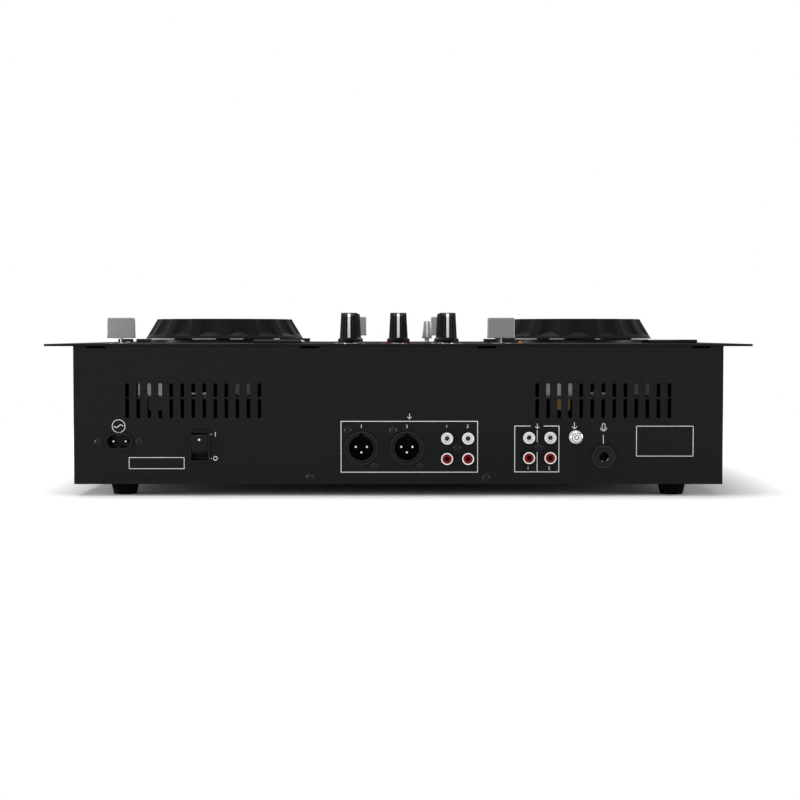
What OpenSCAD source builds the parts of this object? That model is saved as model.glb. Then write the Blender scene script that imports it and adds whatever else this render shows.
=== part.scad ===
// Rack-width console: two disc decks with a two-channel mixer between them.
// Seen from the player's side, +X is right, +Y is the rear and +Z is up.
// The origin lies on the floor, below the middle of the outer box. All sizes are in millimetres.

/* [Top plate] */
// Width over the rack ears
plate_w = 482.6; // [476:0.1:490]
// Depth of the top plate, 8 rack units less a gap
plate_d = 354.8; // [348:0.1:362]
// Thickness of the top plate
plate_t = 1.5; // [1:0.1:2.5]
// Radius of the plate's corners
plate_corner_r = 3; // [1:0.5:5]
// How far the plate hangs over the front and rear panels
plate_over = 0.6; // [0.2:0.1:2]
// Distance between the rack slots, left to right
rack_hole_dx = 465.1; // [460:0.1:468]
// Distance between the rack slots, front to rear
rack_hole_dy = 279.4; // [240:0.1:310]
// Width of a rack slot
rack_slot_w = 6.8; // [5:0.1:8]
// Length of a rack slot, end to end
rack_slot_l = 10.3; // [9:0.1:12]

/* [Case] */
// Width of the case
case_w = 442; // [440:1:446]
// Height of the case, from its floor to the top plate
case_h = 94; // [88:1:110]
// Thickness of the case's steel sheet
sheet_t = 1.2; // [0.8:0.1:1.6]
// Width of the folded flanges inside the case
flange_w = 12; // [10:1:16]
// Height of a foot
foot_h = 8; // [5:1:14]
// Radius of a foot at the case
foot_r = 9.85; // [8:0.05:12]
// Radius of a foot at the floor
foot_tip_r = 7.8; // [6:0.1:8]
// Distance of the feet from the middle, left or right
foot_x = 189; // [170:1:195]
// Distance of the feet from the front and rear panels
foot_inset = 17; // [14:1:40]
// Distance of the outer notches in the rear panel's top edge from the middle
notch_outer_x = 205.7; // [195:0.1:208]
// Distance of the inner notches from the middle
notch_inner_x = 60.2; // [55:0.1:80]
// Width of a notch
notch_w = 13; // [8:0.5:16]
// Depth of a notch
notch_d = 1.4; // [1:0.1:3]

/* [Vents] */
// Number of slots in each group
vent_n = 13; // [9:1:13]
// Distance from slot to slot
vent_pitch = 7.5; // [5:0.1:7.8]
// Width of a slot
vent_w = 2.6; // [1.5:0.1:3.5]
// Height of a slot
vent_h = 24; // [16:1:26]
// Height of the slots' middle above the floor
vent_z = 64.9; // [62:0.1:70]
// Distance of each group's middle from the middle of the case
vent_x = 139.5; // [135:0.5:145]

/* [Jog wheels] */
// Distance of the decks' middles from the middle of the console
deck_dx = 141.3; // [140.5:0.1:142.5]
// Distance of the jog wheels' axes from the front panel
jog_front = 138.6; // [129:0.1:143]
// Radius of a jog wheel at its lower edge
jog_r = 63.5; // [60:0.5:64]
// Radius of a jog wheel at its top
jog_top_r = 54.7; // [53:0.1:56]
// Height of a jog wheel's top above the plate
jog_h = 18.7; // [16:0.1:24]
// Height of a jog wheel's lower edge above the plate
jog_lift = 3; // [2.8:0.1:4]
// Number of finger scallops
scallop_n = 16; // [8:1:16]
// Radius of a scallop
scallop_r = 14; // [10:0.5:15]
// Depth of a scallop in the cone, measured level
scallop_d = 3.6; // [2:0.1:4]
// Height of the uncut band below the scallops
skirt_edge = 2.4; // [1:0.1:3]
// Height that the scallops' floors gain towards the wall
skirt_rise = 2.9; // [2:0.1:4]
// How far the left jog wheel is turned at rest, in degrees
jog_turn_left = 10; // [0:0.5:22]
// How far the right jog wheel is turned at rest, in degrees
jog_turn_right = 5.5; // [0:0.5:22]
// Radius of the jog's shaft
jog_shaft_r = 4; // [3:0.5:5]
// Height of the fixed ring under the jog
ring_h = 2.4; // [1.5:0.1:2.5]
// Radius of the fixed ring
ring_r = 61.5; // [56:0.5:62]

/* [Knobs] */
// Distance of the outer knob columns from the middle
knob_dx = 34.5; // [30:0.5:38]
// Distance of the first knob row from the rear panel
knob_back = 38; // [32:1:42]
// Distance from knob row to knob row
knob_row = 34; // [24:1:36]
// Height of a knob's top above the plate
knob_h = 21.7; // [16:0.1:26]
// Gap between a knob and the plate
knob_gap = 0.9; // [0.9:0.1:1.5]
// Radius of a knob's skirt
knob_skirt_r = 8; // [7.5:0.1:10]
// Height of a knob's skirt
knob_skirt_h = 3; // [2:0.1:5]
// Radius of a knob's body above the skirt
knob_body_r = 6.7; // [6.4:0.1:7.2]
// Radius of a knob's top
knob_top_r = 5.75; // [5:0.05:6.2]
// Depth of the sloping facet on a knob's pointer side
facet_d = 3.5; // [1.5:0.1:4]
// Number of flutes on a knob
flute_n = 14; // [8:1:18]
// Radius of a knob's shaft
knob_shaft_r = 3; // [2:0.1:3.2]
// Distance of the track knob from the deck's middle
select_dx = 48; // [44:1:56]
// Distance of the track knob from the front panel
select_front = 35.6; // [30:0.1:42]
// Height of the track knob's top above the plate
select_h = 15; // [12:0.1:17]

/* [Faders] */
// Width of a fader cap
cap_w = 20.4; // [16:0.1:22]
// Length of a fader cap along its travel
cap_l = 9; // [7:0.5:10]
// Height of a pitch fader's cap
cap_h = 15.2; // [12:0.1:18]
// Gap between the pitch cap and the plate
pitch_cap_gap = 3.7; // [2:0.1:6]
// Gap between the mixer's fader caps and the plate
mixer_cap_gap = 5.5; // [3:0.1:7]
// Height of the crossfader's cap
cross_cap_h = 15.1; // [12:0.1:16]
// Width of the crossfader's cap at its foot
cross_cap_w = 8.9; // [7:0.1:9.5]
// Gap between the crossfader's cap and the plate
cross_cap_gap = 2.9; // [2:0.1:6]
// Full travel of a pitch fader
pitch_travel = 60; // [45:1:64]
// Distance of the pitch fader from the deck's middle
pitch_dx = 65; // [64:0.5:66]
// Distance of the pitch fader's middle from the jog's axis, towards the rear
pitch_behind = 111; // [109:1:114]
// Full travel of a channel fader
channel_travel = 45; // [30:1:50]
// Distance of the channel faders from the middle
channel_dx = 36.3; // [30:0.1:38]
// Distance of the channel faders' slots from the front panel, at their middle
channel_front = 153.6; // [139:0.1:163]
// Where a channel fader rests, towards the front from its slot's middle
channel_rest = 15; // [-20:1:20]
// Full travel of the crossfader
cross_travel = 50; // [48:1:60]
// Distance of the crossfader from the front panel
cross_front = 53.6; // [44:0.1:73]
// Where the crossfader rests, to the right of the middle
cross_rest = -24.5; // [-25:0.5:25]
// Width of the slots in the plate
fader_slot_w = 2.4; // [2:0.1:3.5]
// Thickness of a fader's stem
stem_t = 1.2; // [0.8:0.1:1.6]
// Width of a fader's stem
stem_w = 4; // [3:0.1:6]

/* [Buttons] */
// Height of a button's top above the plate
button_up = 3; // [2:0.1:4]
// Travel of a button
button_travel = 0.8; // [0.4:0.1:1.2]
// Gap round a button in its hole
button_gap = 0.4; // [0.3:0.05:0.6]
// Length of the small buttons, left to right
small_button_w = 11; // [8:0.5:12]
// Length of the small buttons, front to rear
small_button_l = 6.5; // [5:0.5:8]
// Length of the play and cue buttons, left to right
large_button_w = 26; // [20:0.5:28]
// Length of the play and cue buttons, front to rear
large_button_l = 16; // [12:0.5:18]
// Distance of the play, cue and eject buttons from the front panel
play_front = 31.6; // [28:0.1:35]
// Distance of the eject button from the deck's middle
eject_dx = 14; // [11:0.5:24]
// Distance of the bend buttons from the jog's axis, towards the rear
bend_behind = 63; // [60:1:66]

/* [Displays] */
// Width of a display window
display_w = 34; // [30:1:60]
// Depth of a display window, front to rear
display_l = 40; // [30:1:46]
// Height of the window's rear edge above the plate
display_rear_h = 2.8; // [2.6:0.1:6]
// Height of the window's front edge above the plate
display_front_h = 1.8; // [1.6:0.1:2.5]
// Left end of the window, from the deck's middle
display_left = -72; // [-74:0.5:-68]
// Distance of the window from the rear panel
display_back = 55; // [20:1:90]

/* [Disc drives] */
// Width of the tray's plate
tray_w = 132; // [128:1:134]
// Length of the tray
tray_l = 158; // [150:1:170]
// Thickness of the tray's plate
tray_t = 3; // [2:0.1:4]
// Height of the tray's plate above the floor
tray_z = 30; // [28.5:0.5:36]
// Height of the tray's rim above its plate
tray_rim_h = 4; // [3.2:0.1:5]
// Radius of the disc well
well_r = 60.75; // [60.5:0.05:61.5]
// Depth of the disc well
well_d = 2.4; // [1.6:0.1:3]
// How far the tray slides out
tray_travel = 125; // [100:1:130]
// How far the tray's front covers the panel round its slot
tray_lip = 1.6; // [0.8:0.1:3]
// Thickness of the tray's front
tray_front_t = 2.5; // [2:0.1:4]
// Distance of the disc's axis from the front panel
disc_back = 74; // [72:1:76]
// Radius of a turntable
turntable_r = 15; // [12:0.5:16]
// Travel of a pickup
pickup_travel = 36; // [30:1:38]
// Radius of the pickup's guide rods
rod_r = 1.5; // [1:0.1:2]
// Module of the tray's rack and gear
gear_m = 1.5; // [1.5:0.1:1.5]
// Teeth of the tray gear
gear_n = 16; // [14:2:16]
// Backlash between the tray gear and the rack
backlash = 0.5; // [0.4:0.05:0.7]

/* [Mains inlet and switch] */
// Place of the inlet, left or right
inlet_x = 190.4; // [188:0.1:192]
// Height of the inlet above the floor
inlet_z = 37; // [32:0.1:40]
// Width over the inlet's rim
inlet_w = 19.7; // [19:0.1:21]
// Height over the inlet's rim
inlet_h = 12.4; // [12:0.1:13]
// Depth of the inlet's cavity
inlet_deep = 12.5; // [12:0.1:14]
// Place of the switch, left or right
switch_x = 135.3; // [132:0.1:140]
// Height of the switch above the floor
switch_z = 33.8; // [30:0.1:36]
// Width of the switch's frame
switch_w = 14.5; // [14:0.1:16]
// Height of the switch's frame
switch_h = 21.2; // [20.8:0.1:24]
// Tilt of the rocker either way
rocker_tilt = 8; // [5:0.5:10]

/* [Sockets] */
// Place of the first XLR socket, left or right
xlr_x1 = 25.2; // [24:0.1:27]
// Place of the second XLR socket
xlr_x2 = -5.85; // [-6.5:0.05:-3]
// Height of the XLR sockets above the floor
xlr_z = 32.7; // [30:0.1:36]
// Radius of an XLR socket
xlr_r = 11.4; // [11:0.1:11.8]
// Radius of the cavity in an XLR socket
xlr_bore_r = 8.45; // [8.2:0.05:9]
// Depth of an XLR cavity
xlr_deep = 14; // [13:0.5:17]
// First column of the output jacks
out_x1 = -33; // [-34:0.1:-32]
// Second column of the output jacks
out_x2 = -47.2; // [-49:0.1:-46]
// Upper row of the output jacks
out_z1 = 39.7; // [38:0.1:42]
// Lower row of the output jacks
out_z2 = 25.9; // [24:0.1:27]
// First column of the input jacks
in_x1 = -88.4; // [-89:0.1:-87]
// Second column of the input jacks
in_x2 = -102.8; // [-104:0.1:-102]
// Upper row of the input jacks
in_z1 = 40.2; // [39:0.1:42]
// Lower row of the input jacks
in_z2 = 26.5; // [24:0.1:27]
// Radius of a jack's shell
rca_r = 4; // [3.8:0.05:4.5]
// Length of a jack's shell behind the panel's outer face
rca_len = 9; // [7:0.5:10]
// Place of the earth screw, left or right
earth_x = -120.7; // [-121:0.1:-118]
// Height of the earth screw
earth_z = 40.3; // [36:0.1:46]
// Radius of the earth screw's head
earth_r = 4.2; // [3.5:0.1:5.5]
// Place of the microphone jack, left or right
mic_x = -139.8; // [-146:0.1:-138]
// Height of the microphone jack
mic_z = 26.8; // [24:0.1:30]
// Height of the headphone jack
phones_z = 38; // [28:1:60]
// Radius of the jack's bore
jack_bore_r = 3.25; // [3.2:0.01:3.4]
// Radius of the jack's nut
jack_nut_r = 8.4; // [7:0.1:9]

/* [Clearances] */
// Gap round a fitted piece in a sheet's hole
fit_gap = 0.3; // [0.1:0.05:0.4]
// Gap between moving pieces
run_gap = 0.5; // [0.4:0.05:0.6]
// Radial gap of a shaft in its bore
shaft_gap = 0.06; // [0.03:0.01:0.1]

/* [Hidden] */
$fn = 48;

// A little extra so that a cut passes its faces.
over = 1;

// What stands out at the rear and at the front.
earth_len = 8;
nut_proud = 3;
tray_front_gap = 0.3;
rear_proud = max(rca_len, earth_len, nut_proud);
front_proud = max(nut_proud, tray_front_gap + tray_front_t);

// Heights and depths that everything else is set from.
case_top = foot_h + case_h;
plate_top = case_top + plate_t;
floor_top = foot_h + sheet_t;
body_d = plate_d - 2 * plate_over;
rear_y = (body_d + front_proud - rear_proud) / 2;
front_y = rear_y - body_d;
plate_y = rear_y + plate_over - plate_d / 2;
rear_in = rear_y - sheet_t;
front_in = front_y + sheet_t;
side_in = case_w / 2 - sheet_t;
jog_y = front_y + jog_front;
disc_y = front_y + disc_back;

// The control boards hang below the plate, on the bodies of the pots.
pot_h = 8;
board_t = 1.6;
board_top = case_top - pot_h;
deck_board_w = 150;
mixer_board_w = 116;
board_margin = 12;

// Knobs and their pots.
bush_wall = 0.6;
bush_r = knob_shaft_r + shaft_gap + bush_wall;
pot_nut_r = 4.7;
pot_nut_h = knob_gap - 0.4;
pot_body_w = 15;
shaft_in = 5.5;
KNOBS = [
  ["knob_gain_left", -knob_dx, 0], ["knob_master", 0, 0], ["knob_gain_right", knob_dx, 0],
  ["knob_treble_left", -knob_dx, 1], ["knob_treble_right", knob_dx, 1],
  ["knob_bass_left", -knob_dx, 2], ["knob_bass_right", knob_dx, 2]
];
function row_y(row) = rear_y - knob_back - row * knob_row;
select_y = front_y + select_front;

// Faders: the middle of each slot, the travel, and the rest place along it.
pot_w = 12;
shoe_w = 6;
shoe_l = 8;
shoe_h = 2;
track_end = 4;
stem_deep = 5.8;
pitch_y = jog_y + pitch_behind;
channel_y = front_y + channel_front;
cross_y = front_y + cross_front;
cross_cap_l = 18;

// Buttons: name, place from the deck's middle, and size.
flange_gap = 0.15;
flange_t = 1.3;
flange_out = 1;
pad_t = 1.2;
dome_r = 2.5;
press_gap = 0.3;
button_foot = board_top + 5;
bend_dx = 7;
bend_mid = pitch_dx - 2;
cue_dx = -50;
play_dx = cue_dx + large_button_w + 6;
play_y = front_y + play_front;
bend_y = jog_y + bend_behind;
BUTTONS = [
  ["play_button", play_dx, play_y, large_button_w, large_button_l],
  ["cue_button", cue_dx, play_y, large_button_w, large_button_l],
  ["eject_button", eject_dx, play_y, small_button_w, small_button_l],
  ["bend_down", bend_mid - bend_dx, bend_y, small_button_w, small_button_l],
  ["bend_up", bend_mid + bend_dx, bend_y, small_button_w, small_button_l]
];
SIDES = [["_left", -1], ["_right", 1]];

// The jog wheel, measured from the plate's top.
hub_r = 8;
hub_deep = 10.5;
jog_web_z = 11.5;
jog_web_t = 2.5;
jog_seat_r = 47;
jog_edge = 1;
jog_wall_t = 3;
jog_slope = (jog_r - jog_top_r) / (jog_h - jog_edge - jog_lift);
jog_tilt = atan(jog_slope);
jog_wall_r = scallop_floor(jog_web_z) - jog_wall_t;
function scallop_floor(z) = jog_r - scallop_d - jog_slope * (z - jog_lift);
jog_plate_t = 3.2;
dimple_r = 16;
dimple_d = 2;
dimple_at = 33;
wheel_r = 20;
wheel_t = 1.5;
wheel_gap = 3;

// The disc drive.
frame_floor = 3;
frame_wall = 3.5;
frame_z = floor_top + 2.8;
frame_top = frame_z + frame_floor;
frame_hw = tray_w / 2 + run_gap + frame_wall;
frame_y0 = front_in + sheet_t + run_gap;
frame_y1 = front_y + tray_l + 9;
edge_w = 4;
ledge_t = 3;
tray_gap = 0.4;
tray_top = tray_z + tray_t + tray_rim_h;
slot_gap = 0.7;
rack_h = 7;
slot_lo = tray_z - rack_h - slot_gap;
slot_hi = tray_top + slot_gap;
slot_hw = tray_w / 2 + slot_gap;
hub_slot_hw = turntable_r + 1.5;
well_floor = tray_top - well_d;
disc_z = well_floor + 0.5;
spindle_r = 1.5;
disc_hole_r = 7.3;
motor_r = 12;
motor_h = 8;
bridge_z = disc_z + 6.5;
bridge_t = 2.5;
bridge_l = 24;
clamp_r = 13;

// The pickup and its rods.
rod_dx = 20;
rod_z = frame_top + 5;
pickup_l = 20;
pickup_hw = 14;
pickup_y = disc_y + turntable_r + 1 + pickup_l / 2;
rod_y0 = pickup_y - pickup_l / 2 - 1.5;
rod_y1 = pickup_y + pickup_l / 2 + pickup_travel + 1.5;
rod_post = 3;
lens_r = 4;

// The tray's rack and gear.
pitch_r = gear_m * gear_n / 2;
rack_pitch = PI * gear_m;
gear_dx = -38;
gear_y = front_y + gear_m * (gear_n / 2 + 1) + 2.5;
gear_h = 6.6;
gear_top = tray_z - 0.7;
gear_post_r = 3;
rack_line = gear_dx - pitch_r;
rack_back = 4.5;
rack_teeth = ceil(tray_travel / rack_pitch) + 3;

// Sockets.
rim_proud = 0.8;
socket_flange_t = 2.5;
inlet_pin_dx = 4.3;
inlet_pin_r = 1.2;
inlet_pin_l = 9;
inlet_lobe_r = 4.55;
inlet_lobe_dx = 3.4;
inlet_screw_dx = 13.8;
xlr_pin_r = 1.2;
xlr_pin_l = 11;
XLR_PINS = [[-3.9, 0.6], [3.9, 0.6], [0, -3.3]];
xlr_screw = [-9.2, 12];
xlr_proud = 1;
rca_in_r = 3.3;
rca_hole_r = 1.6;
rca_collar = 0.7;
rca_collar_proud = 0.8;
rca_block_deep = 12;
rca_margin = 7;
rca_seat = 6;
rca_tip_gap = 0.8;
earth_post_r = 2;
jack_ring_r = 5.35;
jack_nut_t = 1.5;
jack_body_w = 15;
jack_deep = 20;
OUT_JACKS = [[out_x1, out_z1], [out_x2, out_z1], [out_x1, out_z2], [out_x2, out_z2]];
IN_JACKS = [[in_x1, in_z1], [in_x2, in_z1], [in_x1, in_z2], [in_x2, in_z2]];
OUT_SCREW = [(out_x1 + out_x2) / 2, (out_z1 + out_z2) / 2];
IN_SCREW = [(in_x1 + in_x2) / 2, (in_z1 + in_z2) / 2];

// The mains switch.
bezel_t = 1.5;
frame_rim = 1.1;
frame_step = 0.5;
rocker_w = 10.9;
rocker_side_gap = 0.3;
rocker_hw = rocker_w / 2;
rocker_r = switch_h / 2 - frame_rim - 0.35;
rocker_back = 5;
rocker_face = 3.2;
rocker_pivot_y = rear_y - 2;
pivot_r = 1;
pivot_len = 0.8;
switch_deep = 20;

// Screws.
screw_r = 2.8;
screw_h = 1.4;
small_screw_r = 2.6;
small_screw_h = 1.1;
shank_r = 1.4;
SIDE_SCREW_Z = [28.5, 82.8];
side_screw_y = flange_w / 2 + sheet_t;
lip_h = 7;
bottom_screw_x = 60;
bottom_screw_z = floor_top + lip_h / 2;

// Main boards behind the vents and the power supply.
main_board_z = vent_z + 0.5;
main_board_w = 120;
main_board_v = [14, 150];
post_r = 3;
post_in = 5;
psu_x = [104, 208];
psu_v = [46, 140];
psu_z = floor_top + 8;

// Boxes on a main board: left end, distance from the rear panel, width, length and height.
BOARD_BOXES = [[20, 26, 20, 30, 12], [-38, 44, 16, 30, 9], [-8, 44, 16, 16, 2]];
// The connector below it, in the same order.
BOARD_PLUG = [22, 22, 10, 12, 8];
// The supply's transformer, from its left and rear edges, in the same order.
TRANSFORMER = [44, 30, 32, 32, 26];
// Its capacitors: place from the left and rear edges, radius and height.
PSU_CANS = [[90, 26, 10, 28], [16, 76, 6, 20], [32, 76, 6, 20]];
// Its heat sink: place from the left and rear edges, length, height and fin length.
SINK = [12, 16, 30, 24, 10];
sink_t = 2;
sink_fins = 5;

// A box from one corner to the other.
module block(lo, hi) {
  translate(lo) cube(hi - lo);
}

// Round bars along each axis.
module bar_x(y, z, r, x0, x1) {
  translate([x0, y, z]) rotate([0, 90, 0]) cylinder(r = r, h = x1 - x0);
}
module bar_y(x, z, r, y0, y1) {
  translate([x, y1, z]) rotate([90, 0, 0]) cylinder(r = r, h = y1 - y0);
}
module bar_z(x, y, r, z0, z1) {
  translate([x, y, z0]) cylinder(r = r, h = z1 - z0);
}

// A box with round upright corners, centred on x and y.
module rounded_block(w, l, z0, z1, r) {
  for (s = [-1, 1])
    for (t = [-1, 1])
      bar_z(s * (w / 2 - r), t * (l / 2 - r), r, z0, z1);
  block([-w / 2 + r, -l / 2, z0], [w / 2 - r, l / 2, z1]);
  block([-w / 2, -l / 2 + r, z0], [w / 2, l / 2 - r, z1]);
}

// A slot with round ends through the plate, along x.
module slot_x(x, y, w, l, z0, z1) {
  block([x - l / 2 + w / 2, y - w / 2, z0], [x + l / 2 - w / 2, y + w / 2, z1]);
  for (s = [-1, 1])
    bar_z(x + s * (l - w) / 2, y, w / 2, z0, z1);
}

// An upright slot with round ends through the rear panel.
module vent(x) {
  r = vent_w / 2;
  reach = vent_h / 2 - r;
  block([x - r, rear_in - over, vent_z - reach], [x + r, rear_y + over, vent_z + reach]);
  for (s = [-1, 1])
    bar_y(x, vent_z + s * reach, r, rear_in - over, rear_y + over);
}

// A low domed screw head on a face, standing along +z, with its shank below.
module screw(r, h, shank) {
  ball = (r * r + h * h) / (2 * h);
  intersection() {
    translate([0, 0, h - ball]) sphere(r = ball);
    cylinder(r = r, h = h);
  }
  translate([0, 0, -shank]) cylinder(r = shank_r, h = shank + h / 2);
}

// Copies its children at both decks.
module decks() {
  for (s = SIDES)
    translate([s[1] * deck_dx, 0, 0]) children();
}

// ---- Sheet metal ----

module deck_cutouts() {
  z0 = case_top - over;
  z1 = plate_top + over;
  half = (pitch_travel + stem_w) / 2 + 1;
  bar_z(0, jog_y, hub_r + fit_gap, z0, z1);
  block([pitch_dx - fader_slot_w / 2, pitch_y - half, z0],
        [pitch_dx + fader_slot_w / 2, pitch_y + half, z1]);
  bar_z(select_dx, select_y, bush_r + fit_gap, z0, z1);
  for (b = BUTTONS)
    translate([b[1], b[2], 0])
      rounded_block(b[3] + 2 * button_gap, b[4] + 2 * button_gap, z0, z1, 1 + button_gap);
  translate([display_left + display_w / 2, rear_y - display_back - display_l / 2, 0])
    block([-display_w / 2 + 4, -display_l / 2 + 4, z0], [display_w / 2 - 4, display_l / 2 - 4, z1]);
}

module mixer_cutouts() {
  z0 = case_top - over;
  z1 = plate_top + over;
  channel_half = (channel_travel + stem_w) / 2 + 1;
  cross_half = (cross_travel + stem_w) / 2 + 1;
  for (k = KNOBS)
    bar_z(k[1], row_y(k[2]), bush_r + fit_gap, z0, z1);
  for (s = [-1, 1])
    block([s * channel_dx - fader_slot_w / 2, channel_y - channel_half, z0],
          [s * channel_dx + fader_slot_w / 2, channel_y + channel_half, z1]);
  block([-cross_half, cross_y - fader_slot_w / 2, z0], [cross_half, cross_y + fader_slot_w / 2, z1]);
}

module top_plate() {
  color("#242426") difference() {
    translate([0, plate_y, 0]) rounded_block(plate_w, plate_d, case_top, plate_top, plate_corner_r);
    for (s = [-1, 1])
      for (t = [-1, 1])
        slot_x(s * rack_hole_dx / 2, plate_y + t * rack_hole_dy / 2, rack_slot_w, rack_slot_l,
               case_top - over, plate_top + over);
    decks() deck_cutouts();
    mixer_cutouts();
  }
}

module base_pan() {
  lip = 2 * sheet_t;
  color("#232325") {
    difference() {
      union() {
        block([-case_w / 2, front_in, foot_h], [case_w / 2, rear_in, floor_top]);
        for (s = [-1, 1])
          block([s * (case_w - sheet_t) / 2 - sheet_t / 2, front_in, foot_h],
                [s * (case_w - sheet_t) / 2 + sheet_t / 2, rear_in, case_top]);
        block([-side_in + lip, rear_in - sheet_t, foot_h], [side_in - lip, rear_in, floor_top + lip_h]);
        block([-side_in + lip, front_in, foot_h], [side_in - lip, front_in + sheet_t, floor_top + lip_h]);
      }
      for (z = SIDE_SCREW_Z)
        for (y = [front_y + side_screw_y, rear_y - side_screw_y])
          bar_x(y, z, shank_r, -case_w, case_w);
    }
  }
}

// A sheet across the case with a flange behind each side; dir points into the case.
module end_panel(face_y, dir) {
  in_y = face_y + dir * sheet_t;
  end_y = in_y + dir * flange_w;
  block([-case_w / 2, min(face_y, in_y), foot_h], [case_w / 2, max(face_y, in_y), case_top]);
  for (s = [-1, 1])
    block([s * (side_in - sheet_t / 2) - sheet_t / 2, min(face_y, end_y), floor_top],
          [s * (side_in - sheet_t / 2) + sheet_t / 2, max(face_y, end_y), case_top]);
}

module rear_panel() {
  y0 = rear_in - over;
  y1 = rear_y + over;
  color("#242426") difference() {
    end_panel(rear_y, -1);
    for (s = [-1, 1])
      for (i = [0 : vent_n - 1])
        vent(s * vent_x + (i - (vent_n - 1) / 2) * vent_pitch);
    for (s = [-1, 1])
      for (x = [notch_inner_x, notch_outer_x])
        block([s * x - notch_w / 2, y0, case_top - notch_d], [s * x + notch_w / 2, y1, case_top + over]);
    inlet_shape(fit_gap, y0, y1);
    block([switch_x - switch_w / 2 + frame_step - fit_gap, y0,
          switch_z - switch_h / 2 + frame_step - fit_gap],
          [switch_x + switch_w / 2 - frame_step + fit_gap, y1,
          switch_z + switch_h / 2 - frame_step + fit_gap]);
    for (x = [xlr_x1, xlr_x2])
      bar_y(x, xlr_z, xlr_r + fit_gap, y0, y1);
    for (j = concat(OUT_JACKS, IN_JACKS))
      bar_y(j[0], j[1], rca_r + rca_collar + fit_gap / 2, y0, y1);
    bar_y(earth_x, earth_z, earth_post_r + fit_gap, y0, y1);
    bar_y(mic_x, mic_z, jack_ring_r + fit_gap, y0, y1);
    for (p = panel_screw_places())
      bar_y(p[0], p[1], shank_r, y0, y1);
    for (s = [-1, 1])
      bar_y(s * bottom_screw_x, bottom_screw_z, shank_r, y0, y1);
    for (z = SIDE_SCREW_Z)
      bar_x(rear_y - side_screw_y, z, shank_r, -case_w, case_w);
  }
}

module front_panel() {
  color("#242426") difference() {
    end_panel(front_y, 1);
    decks() block([-slot_hw, front_y - over, slot_lo], [slot_hw, front_in + over, slot_hi]);
    bar_y(0, phones_z, jack_ring_r + fit_gap, front_y - over, front_in + over);
    for (z = SIDE_SCREW_Z)
      bar_x(front_y + side_screw_y, z, shank_r, -case_w, case_w);
  }
}

module rubber_feet() {
  foot_hole_r = 3;
  foot_hole_d = 3;
  color("#1a1a1a")
    for (s = [-1, 1])
      for (y = [front_y + foot_inset, rear_y - foot_inset])
        translate([s * foot_x, y, 0]) difference() {
          cylinder(r1 = foot_tip_r, r2 = foot_r, h = foot_h);
          translate([0, 0, -over]) cylinder(r = foot_hole_r, h = foot_hole_d + over);
        }
}

module case_screws() {
  color("#2b2b2d") {
    for (s = [-1, 1])
      for (z = SIDE_SCREW_Z)
        for (y = [front_y + side_screw_y, rear_y - side_screw_y])
          translate([s * case_w / 2, y, z]) rotate([0, s * 90, 0]) screw(screw_r, screw_h, 2 * sheet_t);
    for (s = [-1, 1])
      translate([s * bottom_screw_x, rear_y, bottom_screw_z]) rotate([-90, 0, 0])
        screw(small_screw_r, small_screw_h, sheet_t);
  }
}

// ---- Rear sockets ----

function panel_screw_places() = concat(
  [for (x = [xlr_x1, xlr_x2]) for (s = [-1, 1]) [x + s * xlr_screw[0], xlr_z - s * xlr_screw[1]]],
  [OUT_SCREW, IN_SCREW],
  [for (s = [-1, 1]) [inlet_x + s * inlet_screw_dx, inlet_z]]
);

module panel_screws() {
  color("#3a3a3c")
    for (p = panel_screw_places())
      translate([p[0], rear_y, p[1]]) rotate([-90, 0, 0]) screw(small_screw_r, small_screw_h, sheet_t);
}

// The inlet's outline with round ends, grown by a gap, from y0 to y1.
module inlet_shape(gap, y0, y1) {
  r = inlet_h / 2 + gap;
  dx = (inlet_w - inlet_h) / 2;
  block([inlet_x - dx, y0, inlet_z - r], [inlet_x + dx, y1, inlet_z + r]);
  for (s = [-1, 1])
    bar_y(inlet_x + s * dx, inlet_z, r, y0, y1);
}

module mains_inlet() {
  mouth = rear_y + rim_proud;
  bottom = mouth - inlet_deep;
  flange_hw = inlet_screw_dx + 3.5;
  waist = 2.6;
  color("#161617") difference() {
    union() {
      inlet_shape(0, bottom - 4, mouth);
      block([inlet_x - flange_hw, rear_in - socket_flange_t, inlet_z - inlet_h / 2 - fit_gap],
            [inlet_x + flange_hw, rear_in, inlet_z + inlet_h / 2 + fit_gap]);
    }
    for (s = [-1, 1])
      bar_y(inlet_x + s * inlet_lobe_dx, inlet_z, inlet_lobe_r, bottom, mouth + over);
    block([inlet_x - inlet_lobe_dx, bottom, inlet_z - waist],
          [inlet_x + inlet_lobe_dx, mouth + over, inlet_z + waist]);
  }
}

// A contact pin with a round tip, from its root at y0 out to y1.
module contact_pin(x, z, r, y0, y1) {
  bar_y(x, z, r, y0, y1 - r);
  translate([x, y1 - r, z]) sphere(r = r);
}

module contacts() {
  inlet_root = rear_y + rim_proud - inlet_deep;
  xlr_root = rear_y + xlr_proud - xlr_deep;
  color("#c9c9c6") {
    for (s = [-1, 1])
      contact_pin(inlet_x + s * inlet_pin_dx, inlet_z, inlet_pin_r, inlet_root, inlet_root + inlet_pin_l);
    for (x = [xlr_x1, xlr_x2])
      for (p = XLR_PINS)
        contact_pin(x + p[0], xlr_z + p[1], xlr_pin_r, xlr_root, xlr_root + xlr_pin_l);
    earth_screw();
  }
}

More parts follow.
